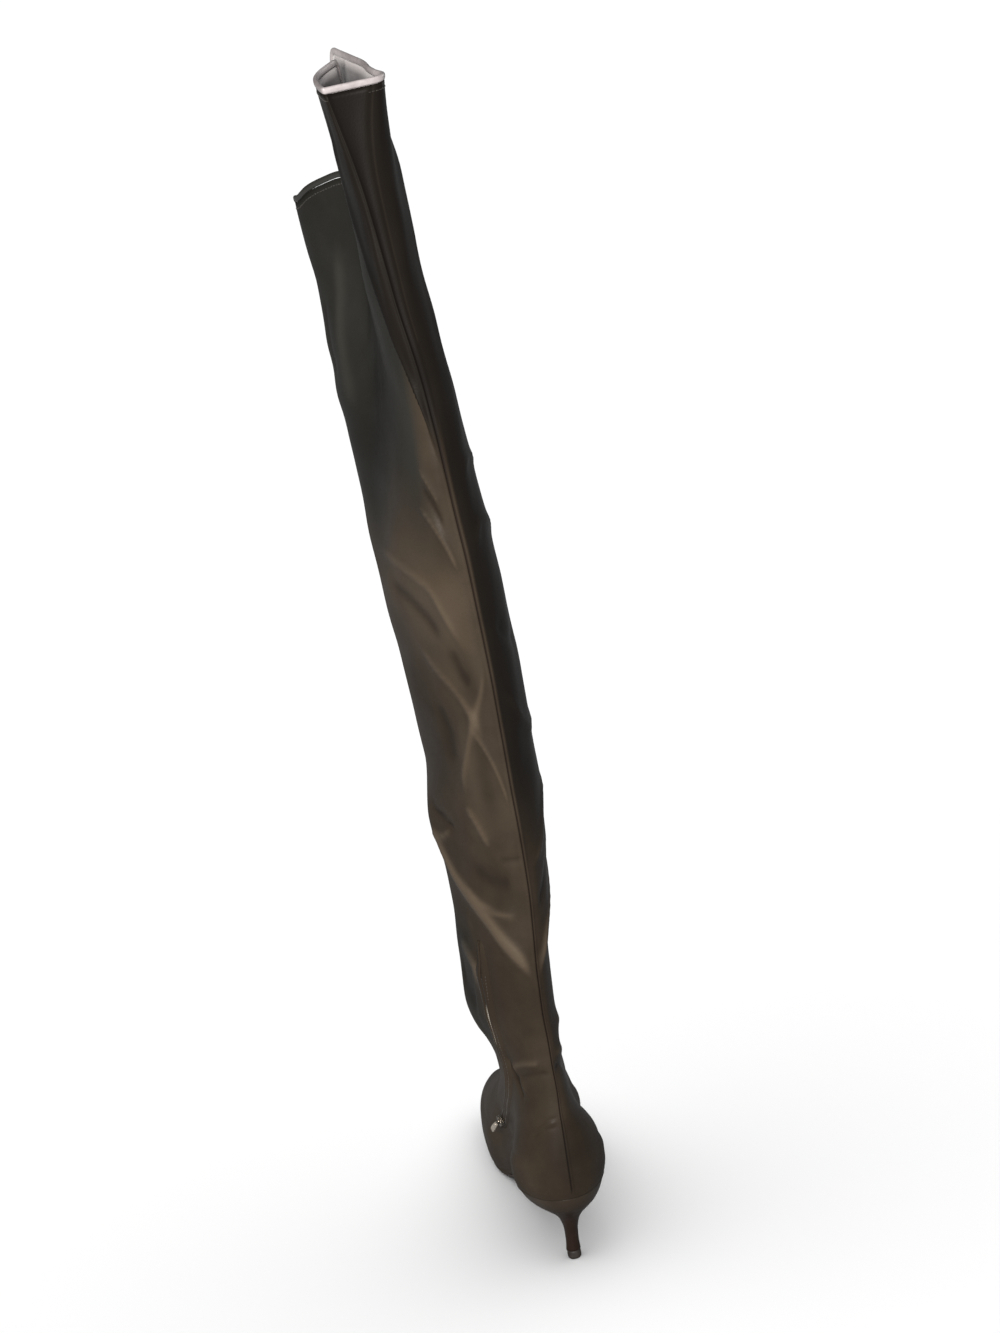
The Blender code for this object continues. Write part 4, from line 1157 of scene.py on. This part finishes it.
def tone_drift():
    """Slow change of tone over a surface: two sizes of soft noise, in metres."""
    tree, given, result = new_group(
        "tone_drift", (("Size", "value", 8.0), ("Light", "colour", (0.1, 0.08, 0.06, 1)),
                       ("Dark", "colour", (0.03, 0.02, 0.02, 1))), (("Color", "colour"), ("Share", "value")))
    place = spot(tree)
    slow = noise(tree, place, given["Size"], 3.0, 0.55)
    quick = noise(tree, place, times(tree, given["Size"], 6.0), 4.0, 0.6)
    share = stretch(tree, maths(tree, "ADD", times(tree, slow, 0.7), times(tree, quick, 0.3)), 0.35, 0.65)
    tree.links.new(mixed(tree, share, given["Dark"], given["Light"]), result["Color"])
    tree.links.new(share, result["Share"])
    return tree


def group(tree, make, **values):
    """Outputs of a shared effect placed in a material with its own values; it is made at its first use."""
    if make not in GROUPS:
        GROUPS[make] = make()
    return add(tree, "ShaderNodeGroup", {"node_tree": GROUPS[make]}, **values).outputs


def drift(tree, size, light, dark):
    """Colour drifting between a light and a dark tone."""
    return group(tree, tone_drift, Size=size, Light=light, Dark=dark)["Color"]


def attribute(tree, name):
    """One value per point that the piece carries."""
    settings = {"attribute_name": name, "attribute_type": "GEOMETRY"}
    return add(tree, "ShaderNodeAttribute", settings).outputs["Fac"]


def fresh(name, **values):
    """New material with its own Principled shader and constant values on its sockets."""
    material = bpy.data.materials.new(name)
    material.use_nodes = True
    shader = material.node_tree.nodes["Principled BSDF"]
    for key, value in values.items():
        shader.inputs[key.replace("_", " ")].default_value = value
    return material, material.node_tree, shader


def finished(material, colour, rough, height, distance, strength, coat=False):
    """The material with its shader's colour and roughness linked, and its normal bumped by a height."""
    tree, shader = material.node_tree, material.node_tree.nodes["Principled BSDF"]
    tree.links.new(colour, shader.inputs["Base Color"])
    tree.links.new(rough, shader.inputs["Roughness"])
    bump = add(tree, "ShaderNodeBump", None, Strength=strength, Distance=distance, Height=height).outputs[0]
    tree.links.new(bump, shader.inputs["Normal"])
    if coat:
        tree.links.new(bump, shader.inputs["Coat Normal"])
    return material


def leather(name):
    """Brown leather with grain, pores and a dark seam; painted highlights on fold crests and light patches,
    painted shade in troughs, on the outer side and back of the thigh, and a greyer painted cool reflection
    on the inner side.
    """
    material, tree, _ = fresh(name, Specular_IOR_Level=0.10, Coat_Weight=0.02, Coat_Roughness=0.36)
    grey, fold = attribute(tree, "cool"), attribute(tree, "fold")
    grain = group(tree, leather_grain, Pebbles=950.0, Wrinkles=60.0, Depth=1.0)
    # Painted highlight colour, warmer or cooler grey by the painted cool reflection share
    highlight = mixed(tree, grey, PAINTED_HIGHLIGHT, PAINTED_HIGHLIGHT_COOL)
    # Base colour: warm leather drift, with the painted cool reflection over the inner side
    colour = mixed(tree, grey, drift(tree, 7.0, WARM_LIGHT, WARM_DARK),
                   drift(tree, 6.0, COOL_REFLECTION_LIGHT, COOL_REFLECTION_DARK))
    # Painted highlights on the lighter patches and fold crests, painted shade in fold troughs, dark pores,
    # the dark seam, and painted shade over the outer side and back of the thigh
    for share, tone in ((times(tree, attribute(tree, "patch_highlight"), 0.5), highlight),
                        (stretch(tree, fold, 0.2, 1.15, 0.0, 0.62), highlight),
                        (stretch(tree, fold, -0.1, -1.0, 0.0, 0.62), PORE_DARK_AND_TROUGH_SHADE),
                        (times(tree, grain["Pores"], 0.14), PORE_DARK_AND_TROUGH_SHADE),
                        (times(tree, attribute(tree, "seam"), 0.75), SEAM_DARK),
                        (times(tree, attribute(tree, "deep"), 0.86), SHADE_BROWN)):
        colour = mixed(tree, share, colour, tone)
    rough = stretch(tree, grain["Wear"], 0, 1, 0.44, 0.54)
    rough = maths(tree, "ADD", rough, times(tree, grain["Pores"], 0.08))
    return finished(material, colour, rough, grain["Height"], 0.00045, 0.55, coat=True)


def heel_leather(name):
    """Leather drawn tight over the heel: the same grain, flatter, and a redder brown near the stem."""
    material, tree, _ = fresh(name, Specular_IOR_Level=0.20, Coat_Weight=0.05, Coat_Roughness=0.32)
    colour = mixed(tree, stretch(tree, level(tree), 0.030, 0.058), drift(tree, 30.0, STEM_LIGHT, STEM_DARK),
                   drift(tree, 9.0, WARM_LIGHT, WARM_DARK))
    grain = group(tree, leather_grain, Pebbles=1000.0, Wrinkles=70.0, Depth=0.6)
    colour = mixed(tree, times(tree, grain["Pores"], 0.12), colour, PORE_DARK_AND_TROUGH_SHADE)
    rough = stretch(tree, grain["Wear"], 0, 1, 0.40, 0.48)
    return finished(material, colour, rough, grain["Height"], 0.0003, 0.4, coat=True)


def lining(name):
    """Lining: silver along the collar, with painted shade darkening it below, in a fine even weave with a
    soft sheen.
    """
    material, tree, _ = fresh(name, Specular_IOR_Level=0.4, Sheen_Weight=0.25, Sheen_Roughness=0.4)
    place = spot(tree)
    # Painted shade darkens the lining below the collar
    colour = mixed(tree, attribute(tree, "below"), drift(tree, 12.0, LINING_LIGHT, LINING_DARK), LINING_SHADE)
    weave = add(tree, "ShaderNodeTexVoronoi", {"feature": "F1", "distance": "CHEBYCHEV"},
                Vector=place, Scale=1500.0)
    slub = noise(tree, place, 90.0, 3.0)
    height = maths(tree, "ADD", times(tree, weave.outputs["Distance"], 0.3), times(tree, slub, 0.7))
    return finished(material, colour, stretch(tree, slub, 0.3, 0.7, 0.42, 0.6), height, 0.0004, 0.5)


def edge_leather(name):
    """Folded silver edge of the collar, worn in its pores, and plain dark leather along the flap."""
    material, tree, _ = fresh(name, Specular_IOR_Level=0.5, Coat_Weight=0.15, Coat_Roughness=0.3)
    grain = group(tree, leather_grain, Pebbles=1400.0, Wrinkles=180.0, Depth=0.7)
    colour = drift(tree, 40.0, EDGE_LIGHT, EDGE_DARK)
    colour = mixed(tree, times(tree, grain["Pores"], 0.18), colour, EDGE_DARK)
    # Along the flap the edge takes the leather's painted cool reflection tone
    colour = mixed(tree, attribute(tree, "plain"), colour, COOL_REFLECTION_LIGHT)
    rough = stretch(tree, grain["Wear"], 0, 1, 0.36, 0.5)
    return finished(material, colour, rough, grain["Height"], 0.0003, 0.4)


def sole_leather(name):
    """Dark stained sole leather: long fibres, faint scuffs at the tread."""
    material, tree, _ = fresh(name, Specular_IOR_Level=0.4, Coat_Weight=0.08, Coat_Roughness=0.4)
    long = add(tree, "ShaderNodeMapping", None, Vector=spot(tree), Scale=(1.0, 0.12, 1.0)).outputs[0]
    fibre, scuff = noise(tree, long, 420.0, 5.0, 0.6), noise(tree, long, 70.0, 4.0, 0.7)
    worn = stretch(tree, scuff, 0.56, 0.72)
    tread = stretch(tree, level(tree), 0.0035, 0.0, 0.0, 0.6)
    colour = mixed(tree, times(tree, worn, tread), drift(tree, 16.0, SOLE_LIGHT, SOLE_DARK), SOLE_WORN)
    colour = mixed(tree, stretch(tree, fibre, 0.3, 0.7, 0.0, 0.25), colour, SOLE_DARK)
    height = maths(tree, "ADD", fibre, times(tree, worn, -0.6))
    return finished(material, colour, stretch(tree, scuff, 0.3, 0.7, 0.42, 0.62), height, 0.0002, 0.5)


def top_piece(name):
    """Moulded top piece of the heel: matt dark rubber with a fine even texture and dusty scuffs."""
    material, tree, _ = fresh(name, Specular_IOR_Level=0.35)
    tone = group(tree, tone_drift, Size=90.0, Light=TIP_LIGHT, Dark=TIP_DARK)
    rough = stretch(tree, tone["Share"], 0, 1, 0.5, 0.66)
    return finished(material, tone["Color"], rough, noise(tree, spot(tree), 2600.0, 2.0), 0.0001, 0.4)


def tape(name):
    """Woven zip tape: fine herringbone ribs."""
    material, tree, _ = fresh(name, Specular_IOR_Level=0.3, Sheen_Weight=0.2)
    ribs = add(tree, "ShaderNodeTexWave", {"wave_type": "BANDS", "bands_direction": "DIAGONAL"},
               Vector=spot(tree), Scale=420.0, Distortion=1.5).outputs["Fac"]
    rough = stretch(tree, ribs, 0, 1, 0.65, 0.85)
    return finished(material, drift(tree, 60.0, TAPE_LIGHT, TAPE_DARK), rough, ribs, 0.00015, 0.6)


def metal(name, light, dark, low, high, metallic, size, coat=0.0):
    """Cast and tumbled metal: small dents, with a drift of tone and of gloss."""
    material, tree, _ = fresh(name, Metallic=metallic, Specular_IOR_Level=0.5, Coat_Weight=coat,
                              Coat_Roughness=0.2)
    dents = noise(tree, spot(tree), 1300.0, 3.0)
    rough = stretch(tree, dents, 0.3, 0.7, low, high)
    return finished(material, drift(tree, size, light, dark), rough, dents, 0.00006, 0.4)


def tooth_metal(name):
    """Teeth of the zip: painted shade darkens them along the shut slot; they keep their pale metal colour
    only where the slot stands open above the ankle.
    """
    material = metal(name, TOOTH_LIGHT, TOOTH_DARK, 0.28, 0.45, 0.6, 120.0)
    tree = material.node_tree
    base = tree.nodes["Principled BSDF"].inputs["Base Color"]
    height = level(tree)
    # Painted shade everywhere but the band where the slot stands open
    open_band = times(tree, stretch(tree, height, 0.155, 0.162), stretch(tree, height, 0.192, 0.184))
    tree.links.new(mixed(tree, open_band, TOOTH_SHADE, base.links[0].from_socket), base)
    return material


def thread(name):
    """Twisted sewing thread in the dark brown of the leather."""
    material, tree, _ = fresh(name, Specular_IOR_Level=0.35, Sheen_Weight=0.2)
    twist = noise(tree, spot(tree), 3000.0, 1.0)
    rough = stretch(tree, twist, 0.3, 0.7, 0.5, 0.7)
    return finished(material, drift(tree, 120.0, THREAD_LIGHT, THREAD_DARK), rough, twist, 0.0001, 0.5)


def make_camera():
    """Camera at the photograph's angle to the boot, rolled so that the boot leans left in the frame."""
    turn, roll = np.radians(CAMERA_TURN), np.radians(CAMERA_ROLL)
    place = Vector((-CAMERA_AWAY * np.sin(turn), -CAMERA_AWAY * np.cos(turn), CAMERA_HEIGHT))
    ahead = (Vector(CAMERA_AIM) - place).normalized()
    right = ahead.cross(Vector((0, 0, 1))).normalized()
    up = right.cross(ahead)
    side = right * np.cos(roll) - up * np.sin(roll)
    top = right * np.sin(roll) + up * np.cos(roll)
    data = bpy.data.cameras.new("camera")
    data.lens, data.sensor_width = CAMERA_LENS * 36, 36
    data.shift_x, data.shift_y = CAMERA_SHIFT
    data.clip_start, data.clip_end = 0.05, 50
    camera = bpy.data.objects.new("camera", data)
    camera.matrix_world = Matrix([(side[k], top[k], -ahead[k], place[k]) for k in range(3)] + [(0, 0, 0, 1)])
    bpy.context.collection.objects.link(camera)
    bpy.context.scene.camera = camera


def add_light(name, kind, place, aim, strength, size, lit, colour=(1, 1, 1)):
    """Soft light on the pieces named: a square lamp of a size in metres, or parallel light with a spread."""
    data = bpy.data.lights.new(name, kind)
    data.energy, data.color = strength, colour
    if kind == "AREA":
        data.shape, data.size = "SQUARE", size
    else:
        data.angle = size
    lamp = bpy.data.objects.new(name, data)
    lamp.location = place
    lamp.rotation_euler = (Vector(place) - Vector(aim)).to_track_quat("Z", "Y").to_euler()
    bpy.context.collection.objects.link(lamp)
    pieces = bpy.data.collections.new(name + "_lights")
    for piece in lit:
        pieces.objects.link(piece)
    lamp.light_linking.receiver_collection = pieces


def make_studio():
    """White floor under an even soft sky, and soft lamps on the boot from behind, beside and in front."""
    boot = [piece for piece in bpy.context.scene.objects if piece.type == "MESH"]
    inside = [piece for piece in boot if piece.name in ("upper_lining", "collar_fold")]
    mesh = bpy.data.meshes.new("floor")
    mesh.from_pydata([(-60, -60, 0), (60, -60, 0), (60, 60, 0), (-60, 60, 0)], [], [(0, 1, 2, 3)])
    floor = bpy.data.objects.new("floor", mesh)
    bpy.context.collection.objects.link(floor)
    material, tree, shader = fresh("floor", Roughness=0.8, Specular_IOR_Level=0.1)
    seen = add(tree, "ShaderNodeLightPath").outputs["Is Camera Ray"]
    tree.links.new(mixed(tree, seen, FLOOR_UNSEEN, FLOOR_SEEN), shader.inputs["Base Color"])
    mesh.materials.append(material)
    world = bpy.data.worlds.new("studio")
    world.use_nodes = True
    tree, room = world.node_tree, world.node_tree.nodes["Background"]
    room.inputs["Color"].default_value = (1.0, 1.0, 1.0, 1)
    seen = add(tree, "ShaderNodeLightPath").outputs["Is Camera Ray"]
    tree.links.new(stretch(tree, seen, 0, 1, ROOM_LIGHT, ROOM_SEEN), room.inputs["Strength"])
    bpy.context.scene.world = world
    bpy.context.scene.view_settings.view_transform = "Standard"
    add_light("sky", "SUN", (0, 0, 4), (0, 0, 0), SKY_LIGHT, 1.9, [floor])
    add_light("key", "AREA", (-0.95, -2.5, 1.55), LAMP_AIM, KEY_LIGHT, 0.8, boot, (1.0, 0.965, 0.92))
    add_light("side", "AREA", (2.6, 1.5, 1.4), LAMP_AIM, SIDE_LIGHT, 1.4, boot)
    add_light("inside", "AREA", (0.9, -1.2, 2.4), (0, 0, BOOT_HEIGHT), INSIDE_LIGHT, 0.8, inside)
    add_light("front", "AREA", (0.4, 2.7, 2.9), LAMP_AIM, FRONT_LIGHT, 2.0, boot)


make_camera()
make_leather()
make_lining()
make_collar_edge()
make_outsole()
make_insole()
make_heel()
make_heel_tip()
make_plackets()
make_tapes()
make_teeth()
make_slider()
make_pull()
make_stitches()
make_studio()
